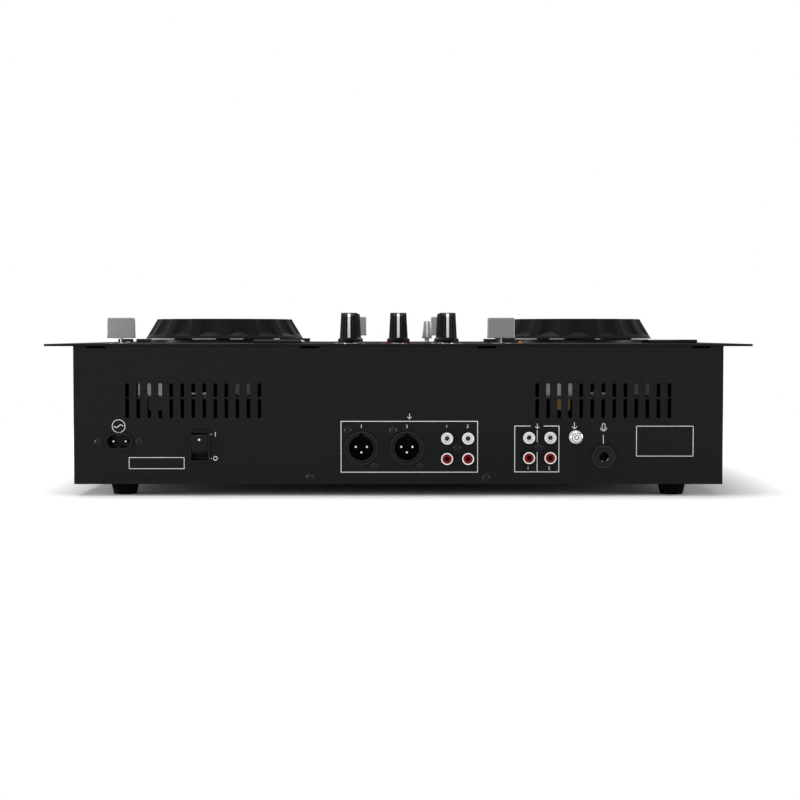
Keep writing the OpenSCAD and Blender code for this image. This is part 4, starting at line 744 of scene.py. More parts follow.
class CONSOLE_OT_fader_caps(Operator):
    """Builds the grey fader caps with their steel stems, and the white line of the crossfader's cap"""
    bl_idname = "console.fader_caps"
    bl_label = "Fader caps"

    def execute(self, context):
        look = context.scene.console_fader
        grey = np.array(look.grey)
        cap = finish("cap_grey", tuple(0.86 * grey), tuple(1.1 * grey), (0.38, 0.5), grain=0.25,
                     size=1700.0, cloud=160.0, relief=0.03)
        steel = finish("stem_steel", (0.42, 0.42, 0.43), (0.55, 0.55, 0.56), (0.3, 0.42), metallic=1.0,
                       grain=0.1)
        wide = [f"{kind}_fader_{side}" for kind in ("pitch", "channel") for side in SIDES]
        for name in wide + ["crossfader"]:
            lo, hi, x, y = spread(name)
            half_x, half_y = (hi - lo)[:2] / 2
            is_wide = name in wide
            height = look.height if is_wide else look.cross_height
            foot = hi[2] - height
            bar, shoe = np.array([1.2, 4]) * MM, np.array([6, 8]) * MM
            if is_wide:
                view = dished_view(half_y, half_y - look.lean, height, look.dish)
                points = cap_loft(view, wide_half(look, half_x), look.corner, look.shoulder)
            else:
                points = cap_loft(bell_view(half_x, height), bell_half(look, half_y), 0.8 * MM, 1.6 * MM)
                points, bar, shoe = points[:, :, [1, 0, 2]], bar[::-1], shoe[::-1]
            piece(f"{name}_cap", closed_loft(points + np.array([x, y, foot])), cap, name, nodes=(name,),
                  sharp=35)
            stem = rounded_box(x, y, lo[2], *bar, foot + 2 * MM - lo[2], 0.2 * MM, 0.05 * MM, 3)
            base = rounded_box(x, y, lo[2], *shoe, 2 * MM, 0.6 * MM, 0.2 * MM, 3)
            piece(f"{name}_stem", merge([stem, base]), steel, name, smooth=False)
        # The crossfader is the last of them, and the only one with a line that faces the rear.
        rise = np.linspace(0.8 * MM, height - 1.0 * MM, 14)
        front = y + bell_half(look, half_y)(rise) + 0.05 * MM
        path = np.column_stack([0 * rise + x, front, foot + rise])
        outs = np.tile([0.0, 1.0, 0.12], (len(rise), 1))
        outs /= np.linalg.norm(outs, axis=1)[:, None]
        piece("crossfader_line", strip(path, outs, look.line, 0.5 * MM), ink_white(), "crossfader")
        return {"FINISHED"}


# ---- Screws ----

def cross_screw(centre, normal, radius, dome, cross, shank):
    """A domed head with a cross recess: the dome falls smoothly inside a plus shape round the axis."""
    turn = ring_angles(64)
    r = np.array([1.0, 0.95, 0.88, 0.78, 0.68, *np.arange(0.6, 0.05, -0.06)])[:, None] * radius
    ball = (radius ** 2 + dome ** 2) / (2 * dome)
    height = np.sqrt(ball ** 2 - r ** 2) - (ball - dome) + 0 * turn
    x, y = r * np.cos(turn), r * np.sin(turn)
    thin = np.minimum(np.abs(x), np.abs(y))
    plus = np.clip((0.16 * cross - thin) / (0.06 * cross), 0, 1)
    plus = plus * np.clip((cross / 2 - r) / (0.1 * cross), 0, 1)
    head = np.stack([x, y, height - plus * dome * 0.75], axis=-1)
    r, z = np.array([(SHANK_RADIUS, -shank), (SHANK_RADIUS, 0), (radius, 0)]).T[:, :, None]
    neck = np.stack([r * np.cos(turn), r * np.sin(turn), z + 0 * turn], axis=-1)
    points = np.concatenate([neck, head])
    n = np.array(normal, float)
    side = np.cross(n, [0.31, 0.2, 0.9])
    side /= np.linalg.norm(side)
    up = np.cross(n, side)
    place = points[..., :1] * side + points[..., 1:2] * up + points[..., 2:] * n + np.array(centre)
    return closed_loft(place)


def corners_of(mesh):
    """A mesh's corner points as an array."""
    points = np.empty(len(mesh.vertices) * 3)
    mesh.vertices.foreach_get("co", points)
    return points.reshape(-1, 3)


def head_places(node, axis, sign, face):
    """Where screws sit in a CAD node: the middles of its loose parts whose heads stand on a face."""
    points = corners_of(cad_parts[node].data)
    proud = points[sign * (points[:, axis] - face) > 0.05 * MM]
    places = []
    while len(proud):
        near = np.linalg.norm(proud - proud[0], axis=1) < SCREW_REACH
        group = proud[near]
        places.append((group.min(axis=0) + group.max(axis=0)) / 2)
        proud = proud[~near]
    return places


def rear_screws(node, cross):
    """Cross-head screws where a CAD node has screws in the rear panel."""
    return [cross_screw((p[0], REAR_FACE, p[2]), (0, 1, 0), 2.6 * MM, 1.1 * MM, cross, 1.2 * MM)
            for p in head_places(node, 1, 1, REAR_FACE)]


class CONSOLE_OT_screws(Operator):
    """Replaces the plain screws of the case and the rear panel with cross-head ones"""
    bl_idname = "console.screws"
    bl_label = "Screws"

    def execute(self, context):
        cross = context.scene.console_sheet.screw_cross
        black = finish("blackened_steel", (0.005, 0.005, 0.0055), (0.010, 0.010, 0.011), (0.22, 0.32),
                       specular=0.20, grain=0.15, size=1800.0, cloud=300.0)
        side_x = high("base_pan")[0]
        sides = [cross_screw((sign * side_x, p[1], p[2]), (sign, 0, 0), 2.8 * MM, 1.4 * MM, cross, 2.4 * MM)
                 for sign in (-1, 1) for p in head_places("case_screws", 0, sign, sign * side_x)]
        piece("case_screw_heads", merge(sides + rear_screws("case_screws", cross)), black, "console",
              nodes=("case_screws",))
        piece("panel_screw_heads", merge(rear_screws("panel_screws", cross)), black, "console",
              nodes=("panel_screws",))
        return {"FINISHED"}


# ---- Power switch ----

class CONSOLE_OT_switch(Operator):
    """Builds the power switch's rocker with its dot: a flat upper face over a lower end that is pressed in"""
    bl_idname = "console.switch"
    bl_label = "Power switch"

    def execute(self, context):
        look = context.scene.console_switch
        lo, hi, x, _ = spread("power_rocker")
        pivot = np.array([x, REAR_FACE - look.pivot_depth, middle("switch_frame")[2]])
        half = (high("switch_frame")[0] - low("switch_frame")[0]) / 2 - look.wall
        break_z = -look.break_at / MM
        face_top, face_foot = (5.1, 6.6), (3.3, break_z)
        view = rounded([(-5.5, 0), (-5.5, 5.5), (3.6, look.reach / MM - 0.9), face_top, face_foot,
                        (2.3, break_z - 0.5), (2.1, break_z - 1.5), (-4.2, break_z - 1.9), (-4.4, -7.4),
                        (-5.5, -6.8), (-5.5, -0.1)], 0.4, 3) * MM
        centre = view.mean(axis=0)
        away = (view - centre) / np.linalg.norm(view - centre, axis=1)[:, None]
        rows = []
        for share, inset in ((-1, 0.35), (-0.985, 0.12), (-0.95, 0), (0.95, 0), (0.985, 0.12), (1, 0.35)):
            section = view - inset * MM * away
            rows.append(np.column_stack([np.full(len(view), share * half), section]) + pivot)
        pin, *pin_faces = revolve([(0, 0), (look.pin, 0), (look.pin, hi[0] - lo[0]), (0, hi[0] - lo[0])], 24)
        pin = pin[:, [2, 1, 0]] + np.array([lo[0], *pivot[1:]])
        # The rocker's black is lighter than the frame's, which stands for the light on its upper face:
        # painted light.
        body = finish("rocker_plastic", (0.0095, 0.0095, 0.0105), (0.014, 0.014, 0.015), (0.3, 0.4),
                      specular=0.06, grain=0.15, size=2600.0)
        piece("switch_rocker", merge([closed_loft(np.array(rows)), outward((pin, *pin_faces))]), body,
              "power_rocker", nodes=("power_rocker",), sharp=50)
        dot, *dot_faces = revolve([(0, 0), (look.dot, 0), (look.dot, 0.12 * MM), (0, 0.12 * MM)], 24)
        run, rise = (np.array(face_top) - face_foot) * MM
        lean = math.atan2(run, rise)
        lay = np.array([[1, 0, 0], [0, math.sin(lean), math.cos(lean)], [0, math.cos(lean), -math.sin(lean)]])
        share = (look.dot_height + look.break_at) / rise
        spot = pivot + np.array([0, face_foot[0] * MM + share * run, look.dot_height])
        piece("switch_dot", outward((dot @ lay.T + spot, *dot_faces)), ink_white(), "power_rocker",
              smooth=False)
        return {"FINISHED"}


# ---- Print ----

class Ink:
    """Collects flat strips of ink on a face that looks towards up. to_face turns two coordinates in mm into a
    place, and look gives the ink's thickness and usual width."""

    def __init__(self, look, to_face, up):
        self.to_face, self.up, self.look, self.shapes = to_face, up, look, []

    def line(self, points, width=None, closed=False):
        """An open or closed line of ink through points in mm, of a width in metres."""
        places = [self.to_face(u, v) for u, v in points]
        self.shapes.append(ribbon(places, width or self.look.thin, self.up, self.look.film, closed))

    def ring(self, u, v, radius, width=None, count=24):
        """A closed round line about a point in mm, of a width in metres."""
        a = ring_angles(count)[0]
        self.line(np.column_stack([u + radius * np.cos(a), v + radius * np.sin(a)]), width, True)


def rear_place(x, z):
    """The place on the rear panel at x and z in mm."""
    return (x * MM, REAR_FACE, z * MM)


def plate_place(height):
    """Gives the places on a level face at that height, by x and y in mm."""
    return lambda x, y: (x * MM, y * MM, height)


def numeral(text, size, place, rear=False):
    """A digit in Blender's own plain font, made a mesh and moved to its place: on the rear panel, or flat on
    the plate. The mirrored x of a rear view is undone by a half turn about the vertical."""
    curve = bpy.data.curves.new("numeral", "FONT")
    curve.body = text
    curve.size = size
    curve.align_x = curve.align_y = "CENTER"
    curve.extrude = 0.03 * MM
    holder = bpy.data.objects.new("numeral", curve)
    bpy.context.scene.collection.objects.link(holder)
    bpy.context.view_layer.update()
    mesh = bpy.data.meshes.new_from_object(holder.evaluated_get(bpy.context.evaluated_depsgraph_get()))
    points = corners_of(mesh)
    mesh.calc_loop_triangles()
    tris = np.empty(len(mesh.loop_triangles) * 3, int)
    mesh.loop_triangles.foreach_get("vertices", tris)
    bpy.data.objects.remove(holder)
    bpy.data.meshes.remove(mesh)
    bpy.data.curves.remove(curve)
    if rear:
        points = np.column_stack([-points[:, 0], points[:, 2], points[:, 1]])
    return points + np.array(place), np.zeros((0, 4), int), tris.reshape(-1, 3)


class CONSOLE_OT_rear_print(Operator):
    """Prints the rear panel: frames round the sockets, arrows, marks for the switch and plain numbers"""
    bl_idname = "console.rear_print"
    bl_label = "Rear print"

    def execute(self, context):
        look = context.scene.console_print
        ink = Ink(look, rear_place, (0, 1, 0))
        bold, fine = look.thin * 1.2, look.thin * 0.9

        def box(x0, x1, z0, z1, width=None):
            """A rectangle's outline."""
            ink.line([(x0, z0), (x1, z0), (x1, z1), (x0, z1)], width, True)

        def digit(text, x, z, size=3.0):
            """A digit as it reads from behind."""
            ink.shapes.append(numeral(text, size * MM, (x * MM, REAR_FACE + 0.02 * MM, z * MM), True))

        def arrow(x, top, tall, wide):
            """An arrow pointing down: a thin shaft and two strokes."""
            foot = top - tall
            ink.line([(x, top), (x, foot + 0.2)])
            ink.line([(x - wide / 2, foot + wide / 2), (x, foot), (x + wide / 2, foot + wide / 2)])

        # Outputs: one frame, with an arrow pointing out of it.
        box(-54.0, 39.0, 16.2, 50.9, look.line)
        arrow(-7.6, 56.2, 3.6, 2.8)
        for text, x in (("1", 25.2), ("2", -5.85), ("1", -33.0), ("2", -47.2)):
            digit(text, x, 47.4)
        # Inputs: a frame open at the top, parted in the middle, with an arrow pointing in.
        ink.line([(-90.0, 47.7), (-79.3, 47.7), (-79.3, 16.4), (-109.4, 16.4), (-109.4, 47.7), (-98.9, 47.7)],
                 look.line)
        for top, foot in ((44.8, 36.6), (29.8, 16.4)):
            ink.line([(-94.6, top), (-94.6, foot)], look.line)
        arrow(-94.6, 49.4, 3.4, 2.6)
        for text, x in (("1", -88.4), ("2", -102.8)):
            digit(text, x, 18.9)
        # Two empty frames.
        box(145.9, 183.4, 18.6, 26.2)
        box(-200.8, -162.2, 27.2, 47.6)
        # Earth screw's arrow, and the jack's line and microphone.
        arrow(-119.9, 50.3, 4.6, 3.4)
        ink.line([(-139.6, 41.6), (-139.6, 35.6)])
        mic = -139.8
        head = ((-1.0, 46.2), (-1.0, 48.4), (-0.5, 49.3), (0.5, 49.3), (1.0, 48.4), (1.0, 46.2), (0.5, 45.3),
                (-0.5, 45.3))
        cradle = ((-2.1, 46.6), (-1.7, 45.1), (0, 44.3), (1.7, 45.1), (2.1, 46.6))
        for outline, closed in ((head, True), (cradle, False)):
            ink.line([(mic + x, z) for x, z in outline], fine, closed)
        # Power switch: on, off, and their short lines; mains inlet: a wave in a ring.
        ink.line([(124.6, 40.6), (124.6, 43.6)], bold)
        ink.ring(124.6, 25.6, 1.3, bold)
        for z in (42.1, 25.6):
            ink.line([(127.0, z), (128.4, z)])
        a = np.linspace(-math.pi, math.pi, 17)
        ink.line(np.column_stack([190.4 + a, 47.6 - 0.9 * np.sin(a)]), bold)
        ink.ring(190.4, 47.6, 4.4, count=36)
        piece("rear_print", merge(ink.shapes), ink_white(), "console", smooth=False)
        return {"FINISHED"}


class CONSOLE_OT_socket_trim(Operator):
    """Adds lighter rings round the sockets and on the nut as painted highlights, two bright arcs in the jack
    as painted glints on its contacts, and grey rings in the earth screw's head as painted groove shade
    """
    bl_idname = "console.socket_trim"
    bl_label = "Socket trim"

    def execute(self, context):
        look = context.scene.console_trim

        def hoop(x, z, radius, width, front, thick, count=48, start=0, stop=360):
            """A flat ring or arc round (x, z), whose front stands out from the panel by so much."""
            a = np.linspace(math.radians(start), math.radians(stop), count, endpoint=stop - start < 360)
            y = REAR_FACE + front - thick + 0 * a
            path = np.column_stack([x + radius * np.cos(a), y, z + radius * np.sin(a)])
            return ribbon(path, width, (0, 1, 0), thick, closed=stop - start == 360)

        face = high("xlr_sockets")[1] - REAR_FACE
        edges = []
        # A lighter ring on each socket's rim and a lighter arc at each bore's edge: painted highlights.
        for x in (look.socket_left, look.socket_right):
            rim, bore = look.socket_radius - 0.35 * MM, look.bore_radius + 0.35 * MM
            place = (x, look.socket_height)
            edges.append(hoop(*place, rim, 0.6 * MM, face + 0.06 * MM, 0.26 * MM, 72))
            edges.append(hoop(*place, bore, 0.3 * MM, face + 0.05 * MM, 0.25 * MM, 72, 115, 425))
        nut = (look.jack, look.jack_height)
        # A lighter hexagon on the nut and a lighter ring on the collar: painted highlights.
        edges.append(hoop(*nut, look.nut_radius - 0.5 * MM, 0.7 * MM, look.nut_face, 0.26 * MM, 6))
        edges.append(hoop(*nut, look.collar_radius - 0.3 * MM, 0.45 * MM, look.collar_face, 0.25 * MM, 64))
        # A lighter, glossier black than the mouldings: the colour of the painted highlights.
        edge = finish("worn_edge", (0.022, 0.022, 0.024), (0.030, 0.030, 0.032), (0.2, 0.3), specular=0.12,
                      grain=0.1)
        piece("socket_edges", merge(edges), edge, "console", smooth=False)
        # The jack's contacts are partly real. They show only as two short bright metal arcs, placed where
        # glints fall: painted highlights.
        glints = [hoop(*nut, look.contact_radius, 0.24 * MM, look.contact_face, 0.3 * MM, 12, *arc)
                  for arc in ((194, 242), (-82, -58))]
        metal = finish("spring_metal", (0.30, 0.30, 0.29), (0.42, 0.42, 0.41), (0.25, 0.35), metallic=1.0,
                       grain=0.1)
        piece("jack_contacts", merge(glints), metal, "console", smooth=False)
        head, front = (look.earth, look.earth_height), look.earth_length + 0.05 * MM
        # Grey rings in the bright head stand for the shade in its grooves: painted shade.
        marks = [hoop(*head, 3.1 * MM, 0.42 * MM, front, 0.2 * MM, 40),
                 hoop(*head, 1.5 * MM, 0.55 * MM, front, 0.2 * MM, 6)]
        groove = finish("groove_shade", (0.07, 0.07, 0.07), (0.11, 0.11, 0.11), (0.5, 0.6), specular=0.1,
                        grain=0.1)
        piece("earth_screw_marks", merge(marks), groove, "console", smooth=False)
        return {"FINISHED"}


def button_mark(ink, kind, x, y):
    """Draws the plain symbol of a key round its middle, in mm."""
    if kind == "play_button":
        ink.line([(x - 4.2, y - 2.6), (x + 0.3, y), (x - 4.2, y + 2.6)], closed=True)
        for bar in (2.2, 4.2):
            ink.line([(x + bar, y - 2.6), (x + bar, y + 2.6)], 0.9 * MM)
    elif kind == "cue_button":
        ink.ring(x, y, 2.8, ink.look.thin * 1.4, 36)
    elif kind == "eject_button":
        ink.line([(x - 1.9, y - 0.3), (x + 1.9, y - 0.3), (x, y + 1.8)], closed=True)
        ink.line([(x - 2.1, y - 1.6), (x + 2.1, y - 1.6)], 0.6 * MM)
    else:
        ink.line([(x - 1.6, y), (x + 1.6, y)])
    if kind == "bend_up":
        for start, stop in ((-1.6, -0.25), (0.25, 1.6)):
            ink.line([(x, y + start), (x, y + stop)])


class CONSOLE_OT_plate_print(Operator):
    """Prints the top plate: dial ticks, fader scales, and plain symbols on the buttons"""
    bl_idname = "console.plate_print"
    bl_label = "Plate print"

    def execute(self, context):
        look, up = context.scene.console_print, (0, 0, 1)
        ink = Ink(look, plate_place(PLATE_TOP), up)

        def digit(text, x, y):
            """A digit as it reads from the player's side."""
            ink.shapes.append(numeral(text, 2.6 * MM, (x * MM, y * MM, PLATE_TOP)))

        def scale(x, y, steps, pitch, gap, tick, long_tick, every, across=False):
            """Ticks on both sides of a fader's slot; every so many steps from the middle comes a long one."""
            for i in range(-steps, steps + 1):
                reach = gap + (long_tick if i % every == 0 else tick)
                for s in (-1, 1):
                    ends = [(s * gap, i * pitch), (s * reach, i * pitch)]
                    ink.line([(x + v, y + u) if across else (x + u, y + v) for u, v in ends])

        for name in MIXER_KNOBS:
            x, y = middle(name)[:2] / MM
            for i, a in enumerate(np.radians(np.linspace(-150, 150, 11))):
                reach = 12.1 if i in (0, 5, 10) else 11.2
                ink.line([(x + r * math.sin(a), y + r * math.cos(a)) for r in (9.6, reach)])
            for a, text in ((math.radians(-160), "0"), (math.radians(160), "10")):
                digit(text, x + 13.2 * math.sin(a), y + 13.2 * math.cos(a))
        for name in TRACK_KNOBS:
            ink.ring(*middle(name)[:2] / MM, 10.2, count=48)
        for side in SIDES:
            x, y = middle(f"pitch_fader_{side}")[:2] / MM
            scale(x, y, 8, 3.75, 2.4, 2.6, 4.2, 4)
            for i in (-8, -4, 0, 4, 8):
                digit(str(abs(i)), x - 9.6, y + i * 3.75)
            x, y = middle(f"channel_fader_{side}")[:2] / MM + np.array([0, 15])
            scale(x, y, 5, 4.5, 2.6, 3.0, 4.6, 5)
            for i in (-5, 0, 5):
                digit(str(i + 5), x + 10.4, y + i * 4.5)
        scale(0, middle("crossfader")[1] / MM, 5, 5, 2.6, 3.0, 4.6, 5, across=True)
        piece("plate_print", merge(ink.shapes), ink_white(), "console", smooth=False)
        for node in (f"{kind}_{side}" for side in SIDES for kind in BUTTONS):
            _, hi, x, y = spread(node)
            ink = Ink(look, plate_place(hi[2]), up)
            button_mark(ink, node.rsplit("_", 1)[0], x / MM, y / MM)
            piece(f"{node}_mark", merge(ink.shapes), ink_white(), node, smooth=False)
        return {"FINISHED"}


# ---- Lamps on the plate ----

class CONSOLE_OT_lamps(Operator):
    """Builds the level meters' lamps, one beside each pitch fader and two beside the master knob"""
    bl_idname = "console.lamps"
    bl_label = "Lamps"

    def execute(self, context):
        lenses = {"red": glowing("lamp_red", (0.11, 0.010, 0.009), (1.0, 0.05, 0.03), 0.008),
                  "amber": glowing("lamp_amber", (0.30, 0.13, 0.03), (1.0, 0.35, 0.05), 0.01),
                  "green": glowing("lamp_green", (0.02, 0.11, 0.035), (0.1, 1.0, 0.2), 0.01)}
        lamps = {tone: [] for tone in lenses}
        dome = np.array([(0, 0), (1.5, 0), (1.5, 0.6), (1.0, 1.2), (0, 1.45)]) * MM
        rear, front = middle("knob_treble_left")[1] + 14 * MM, middle("knob_bass_left")[1] - 14 * MM
        for i, y in enumerate(np.linspace(rear, front, 12)):
            tone = "red" if i < 2 else "amber" if i < 4 else "green"
            for x in (-5.5 * MM, 5.5 * MM):
                size = np.array([6, 2.4, 0.8, 0.5, 0.25]) * MM
                lamps[tone].append(rounded_box(x, y, PLATE_TOP, *size))
        for x in (-10 * MM, 10 * MM):
            lamps["red"].append(revolve(dome, 24, (x, middle("knob_master")[1] - 16 * MM, PLATE_TOP)))
        for side in SIDES:
            x, y = middle(f"pitch_fader_{side}")[:2] + np.array([-11.5, 38]) * MM
            lamps["amber"].append(revolve(dome, 24, (x, y, PLATE_TOP)))
        for tone, lens in lenses.items():
            piece(f"lamps_{tone}", merge(lamps[tone]), lens, "console")
        return {"FINISHED"}


# ---- Finishes of the CAD nodes ----

def deep_black(name, rough, specular, near=(0.0125, 0.0127, 0.0135), far=(0.0012, 0.0012, 0.0014), fall=4.0):
    """A black moulding with painted shade in its bores: the tone falls to a much darker one over some mm
    behind the rear face.
    """
    material = finish(name, near, near, rough, specular=specular, grain=0.1, size=2600.0, cloud=80.0)
    tree = material.node_tree
    # Painted shade: the deeper a point lies behind the rear face, the darker its colour.
    parts = add(tree, "SeparateXYZ", {"Vector": add(tree, "TexCoord").outputs["Object"]})
    depth = add(tree, "MapRange", {"Value": parts.outputs["Y"], "From Min": REAR_FACE - fall * MM,
                                   "From Max": REAR_FACE + 0.3 * MM})
    tone = add(tree, "Mix", {"Factor": depth.outputs["Result"], "A": (*far, 1), "B": (*near, 1)},
               data_type="RGBA")
    feed(tree, tree.nodes["Principled BSDF"], {"Base Color": tone.outputs["Result"]})
    return material


def stepped_ramp(tree, share, bands, span):
    """A ramp of plain steps over a share of the span: a (start, colour) band runs to the next one's start."""
    ramp = add(tree, "ValToRGB", {"Fac": share})
    ramp.color_ramp.interpolation = "CONSTANT"
    stops = ramp.color_ramp.elements
    while len(stops) < len(bands):
        stops.new(0.5)
    for stop, (start, _) in zip(stops, bands):
        stop.position = start / span
    for stop, (_, tone) in zip(stops, bands):
        stop.color = (*tone, 1)
    return ramp.outputs["Color"]


def board_finish():
    """Circuit boards by height: posts, supply, connectors, main boards, screening cans, control boards and
    displays. Two bands across x are darkened, to half and to 0.3 of the tone, and only the boards at -x have
    yellow coils."""
    material = finish("board_tones", (0.02, 0.11, 0.045), (0.03, 0.15, 0.06), (0.3, 0.45), coat=0.1,
                      grain=0.2, size=500.0, cloud=90.0, relief=0.05)
    tall, wide, coils = 110, 500, 57.3
    grey, can, full, half = (0.4,) * 3, (0.62, 0.62, 0.60), (1.0,) * 3, (0.5,) * 3
    bands = [(0.0, grey), (17.1, (0.28, 0.17, 0.06)), (18.9, (0.05, 0.05, 0.06)), (coils, (0.62, 0.42, 0.04)),
             (65.0, (0.010, 0.032, 0.014)), (67.05, can), (92.3, (0.03, 0.14, 0.05)), (94.05, (0.02,) * 3)]
    plain = [(start, (0.004,) * 3 if start == coils else tone) for start, tone in bands]
    metal = [(start, (0.85,) * 3 if tone in (grey, can) else (0.0,) * 3) for start, tone in bands]
    darkened_bands = [(wide / 2 + x, tone)
              for x, tone in ((-250, full), (-182, half), (-157, full), (100, (0.3,) * 3), (125, full))]
    tree = material.node_tree
    parts = add(tree, "SeparateXYZ", {"Vector": add(tree, "TexCoord").outputs["Object"]}).outputs
    height = add(tree, "Math", {0: parts["Z"], 1: tall * MM}, operation="DIVIDE").outputs["Value"]
    across = add(tree, "Math", {0: parts["X"], 1: 1 / (wide * MM), 2: 0.5}, operation="MULTIPLY_ADD")
    side = add(tree, "Math", {0: parts["X"], 1: 0.0}, operation="GREATER_THAN")
    halves = add(tree, "Mix", {"Factor": side.outputs["Value"], "A": stepped_ramp(tree, height, bands, tall),
                               "B": stepped_ramp(tree, height, plain, tall)}, data_type="RGBA")
    product = add(tree, "Mix", {"Factor": 1.0, "A": halves.outputs["Result"],
                                "B": stepped_ramp(tree, across.outputs["Value"], darkened_bands, wide)},
                  data_type="RGBA", blend_type="MULTIPLY")
    feed(tree, tree.nodes["Principled BSDF"], {"Base Color": product.outputs["Result"],
                                               "Metallic": stepped_ramp(tree, height, metal, tall)})
    return material


class CONSOLE_OT_finishes(Operator):
    """Gives every CAD node that stays visible its finish"""
    bl_idname = "console.finishes"
    bl_label = "Finishes"

    def execute(self, context):
        paint = sheet_paint("powder_coat", (0.52, 0.64), 0.05)
        plate = sheet_paint("plate_coat", (0.72, 0.82), 0.015)
        black = finish("black_moulding", (0.0045, 0.0045, 0.005), (0.009, 0.009, 0.0095), (0.26, 0.36),
                       specular=0.10, grain=0.2, size=2400.0, cloud=60.0)
        nickel = finish("bright_nickel", (0.64, 0.635, 0.62), (0.76, 0.755, 0.74), (0.14, 0.26),
                        metallic=1.0, grain=0.08, size=1200.0, cloud=200.0)
        steel = finish("plain_steel", (0.36, 0.36, 0.36), (0.5, 0.5, 0.49), (0.3, 0.45), metallic=1.0,
                       grain=0.2)
        drive = finish("drive_moulding", (0.035, 0.035, 0.04), (0.055, 0.055, 0.06), (0.45, 0.6))
        tray = finish("tray_moulding", (0.012, 0.012, 0.013), (0.020, 0.020, 0.021), (0.35, 0.48),
                      specular=0.15, grain=0.3, size=2200.0)
        # The sockets and the jack are darkened into their bores: painted shade.
        socket = deep_black("socket_moulding", (0.25, 0.35), 0.02)
        nut = deep_black("jack_moulding", (0.2, 0.3), 0.08, (0.010, 0.010, 0.011))
        white = finish("insulator_white", (0.72, 0.72, 0.70), (0.82, 0.82, 0.80), (0.3, 0.4), specular=0.3,
                       grain=0.05)
        red = finish("insulator_red", (0.20, 0.007, 0.012), (0.26, 0.009, 0.015), (0.25, 0.35),
                     specular=0.08, grain=0.05)
        rubber = finish("soft_rubber", (0.003, 0.003, 0.003), (0.006, 0.006, 0.006), (0.6, 0.75),
                        specular=0.02, grain=0.5, size=900.0)
        window = finish("window_gloss", (0.003, 0.003, 0.004), (0.005, 0.005, 0.007), (0.05, 0.08),
                        specular=0.1, grain=0.01, cloud=30.0)
        pads = finish("pad_rubber", (0.12, 0.13, 0.14), (0.18, 0.19, 0.20), (0.6, 0.75), grain=0.2)
        natural = finish("natural_moulding", (0.56, 0.53, 0.44), (0.68, 0.65, 0.55), (0.4, 0.5), grain=0.1)
        alloy = finish("pickup_alloy", (0.2, 0.21, 0.23), (0.32, 0.33, 0.35), (0.4, 0.55), metallic=0.9,
                       grain=0.3, size=700.0)
        keys = finish("key_plastic", (0.010, 0.010, 0.011), (0.017, 0.017, 0.018), (0.36, 0.46),
                      specular=0.15, grain=0.25, size=2600.0)
        finishes = {"top_plate": plate, "base_pan": paint, "rear_panel": paint, "front_panel": paint,
                    "rubber_feet": rubber, "mains_inlet": black, "contacts": nickel, "xlr_sockets": socket,
                    "rca_blocks": black, "rca_shells": nickel, "rca_inserts_white": white,
                    "rca_inserts_red": red,
                    "jack_sockets": nut, "switch_frame": black, "jog_rings": black,
                    "display_windows": window, "circuit_boards": board_finish(), "slide_pots": steel,
                    "rotary_pots": steel, "drive_frames": drive, "keypads": pads}
        for side in SIDES:
            finishes.update({f"disc_tray_{side}": tray, f"tray_gear_{side}": natural,
                             f"turntable_{side}": drive, f"pickup_{side}": alloy})
            finishes.update({f"{kind}_{side}": keys for kind in BUTTONS})
        for node, material in finishes.items():
            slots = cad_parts[node].data.materials
            slots.clear()
            slots.append(material)
        return {"FINISHED"}


# ---- Stage ----

def area_lamp(name, place, aim, size, power):
    """A square soft lamp that looks at a point."""
    lamp = bpy.data.lights.new(name, "AREA")
    lamp.shape = "SQUARE"
    lamp.size = size
    lamp.energy = power
    holder = bpy.data.objects.new(name, lamp)
    bpy.context.scene.collection.objects.link(holder)
    holder.location = place
    holder.rotation_euler = (Vector(aim) - Vector(place)).to_track_quat("-Z", "Y").to_euler()


def white_background(tree, output, plain, shown):
    """For camera, glossy and transmitted rays the surface is shown, and plain for all others."""
    path = add(tree, "LightPath").outputs
    seen = path["Is Camera Ray"]
    for kind in ("Is Glossy Ray", "Is Transmission Ray"):
        seen = add(tree, "Math", {0: seen, 1: path[kind]}, operation="MAXIMUM").outputs["Value"]
    mix = add(tree, "MixShader", {"Fac": seen, 1: plain, 2: shown})
    feed(tree, output, {"Surface": mix.outputs["Shader"]})


def white_floor(look):
    """A wide pale floor. In the camera's rays it is a matt white near the object, which keeps the shadow, and
    it fades to plain white with the distance."""
    material, tree, shader = new_material("floor_white")
    feed(tree, shader, {"Base Color": (*look.floor, 1), "Roughness": 0.9, "Specular IOR Level": 0.0})
    near = add(tree, "BsdfDiffuse", {"Color": (look.white, look.white, look.white, 1)})
    far = add(tree, "Emission", {"Strength": 1.0})
    away = add(tree, "VectorMath", {0: add(tree, "TexCoord").outputs["Object"]}, operation="LENGTH")
    fade = add(tree, "MapRange", {"Value": away.outputs["Value"], "From Min": look.fade_start,
                                  "From Max": look.fade_end})
    white = add(tree, "MixShader", {"Fac": fade.outputs["Result"], 1: near.outputs["BSDF"],
                                    2: far.outputs["Emission"]})
    white_background(tree, tree.nodes["Material Output"], shader.outputs["BSDF"], white.outputs["Shader"])
    reach = look.floor_reach
    mesh = bpy.data.meshes.new("floor")
    mesh.from_pydata([(-reach, -reach, 0), (reach, -reach, 0), (reach, reach, 0), (-reach, reach, 0)], [],
                     [(0, 1, 2, 3)])
    mesh.materials.append(material)
    floor = bpy.data.objects.new("floor", mesh)
    bpy.context.scene.collection.objects.link(floor)
    return floor


def studio_world():
    """A weak, even light all round, which the camera and reflections see as white."""
    world = bpy.data.worlds.new("studio")
    world.use_nodes = True
    tree = world.node_tree
    tree.nodes.clear()
    plain = add(tree, "Background", {"Color": (0.95, 0.955, 0.97, 1), "Strength": 0.16})
    shown = add(tree, "Background", {"Color": (1, 1, 1, 1), "Strength": 1.0})
    white_background(tree, add(tree, "OutputWorld"), plain.outputs["Background"],
                     shown.outputs["Background"])
    return world


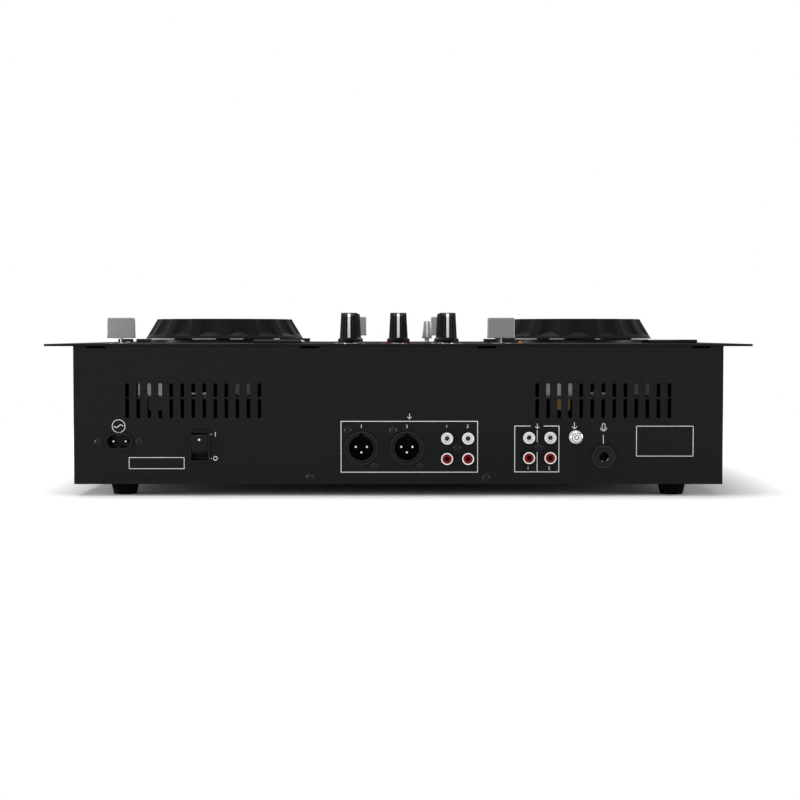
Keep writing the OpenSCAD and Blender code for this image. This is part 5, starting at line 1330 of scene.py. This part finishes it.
class CONSOLE_OT_stage(Operator):
    """Sets the white floor, the soft lamps, the world and the camera behind the rear panel"""
    bl_idname = "console.stage"
    bl_label = "Stage"

    def execute(self, context):
        scene, look = context.scene, context.scene.console_stage
        scene.view_settings.view_transform = "Standard"
        white_floor(look)
        scene.world = studio_world()
        for name, place, size in (("key", (0.2, -0.2, 1.9), 1.5), ("left", (1.5, 0.3, 0.3), 0.5),
                                  ("right", (-1.5, 0.3, 0.3), 0.5), ("rear", (0.6, 2.3, 0.9), 1.7),
                                  ("front", (0, -1.5, 1.3), 1.2)):
            area_lamp(f"{name}_lamp", place, (0, 0, 0.05), size, getattr(look, name))
        camera = bpy.data.cameras.new("camera")
        camera.lens = look.lens
        camera.sensor_width = 36
        camera.clip_end = 50
        holder = bpy.data.objects.new("camera", camera)
        scene.collection.objects.link(holder)
        holder.location = (look.camera_right, REAR_FACE + look.camera_distance, PLATE_TOP + look.camera_above)
        holder.rotation_euler = (math.pi / 2 - look.pitch, 0, math.pi)
        scene.camera = holder
        return {"FINISHED"}


# ---- Add-on ----

OPERATORS = (CONSOLE_OT_finishes, CONSOLE_OT_jog_wheels, CONSOLE_OT_knobs, CONSOLE_OT_fader_caps,
             CONSOLE_OT_screws, CONSOLE_OT_switch, CONSOLE_OT_rear_print, CONSOLE_OT_socket_trim,
             CONSOLE_OT_plate_print, CONSOLE_OT_lamps, CONSOLE_OT_stage)


class CONSOLE_PT_pieces(Panel):
    """Lists the pieces and the stage"""
    bl_idname = "CONSOLE_PT_pieces"
    bl_label = "Disc deck console"
    bl_space_type = "VIEW_3D"
    bl_region_type = "UI"
    bl_category = "Console"

    def draw(self, context):
        for name in SETTINGS:
            box = self.layout.box()
            settings = getattr(context.scene, name)
            for label in settings.bl_rna.properties.keys():
                if label not in ("rna_type", "name"):
                    box.prop(settings, label)
        for operator in OPERATORS:
            self.layout.operator(operator.bl_idname)


CLASSES = tuple(SETTINGS.values()) + OPERATORS + (CONSOLE_PT_pieces,)


def register():
    """Registers the classes and puts the settings on the scene."""
    for cls in CLASSES:
        bpy.utils.register_class(cls)
    for name, cls in SETTINGS.items():
        setattr(bpy.types.Scene, name, PointerProperty(type=cls))


def unregister():
    """Takes away what register has set up."""
    for name in SETTINGS:
        delattr(bpy.types.Scene, name)
    for cls in reversed(CLASSES):
        bpy.utils.unregister_class(cls)


def main():
    """Builds everything."""
    register()
    for operator in OPERATORS:
        group, name = operator.bl_idname.split(".")
        getattr(getattr(bpy.ops, group), name)()


if __name__ == "__main__":
    main()
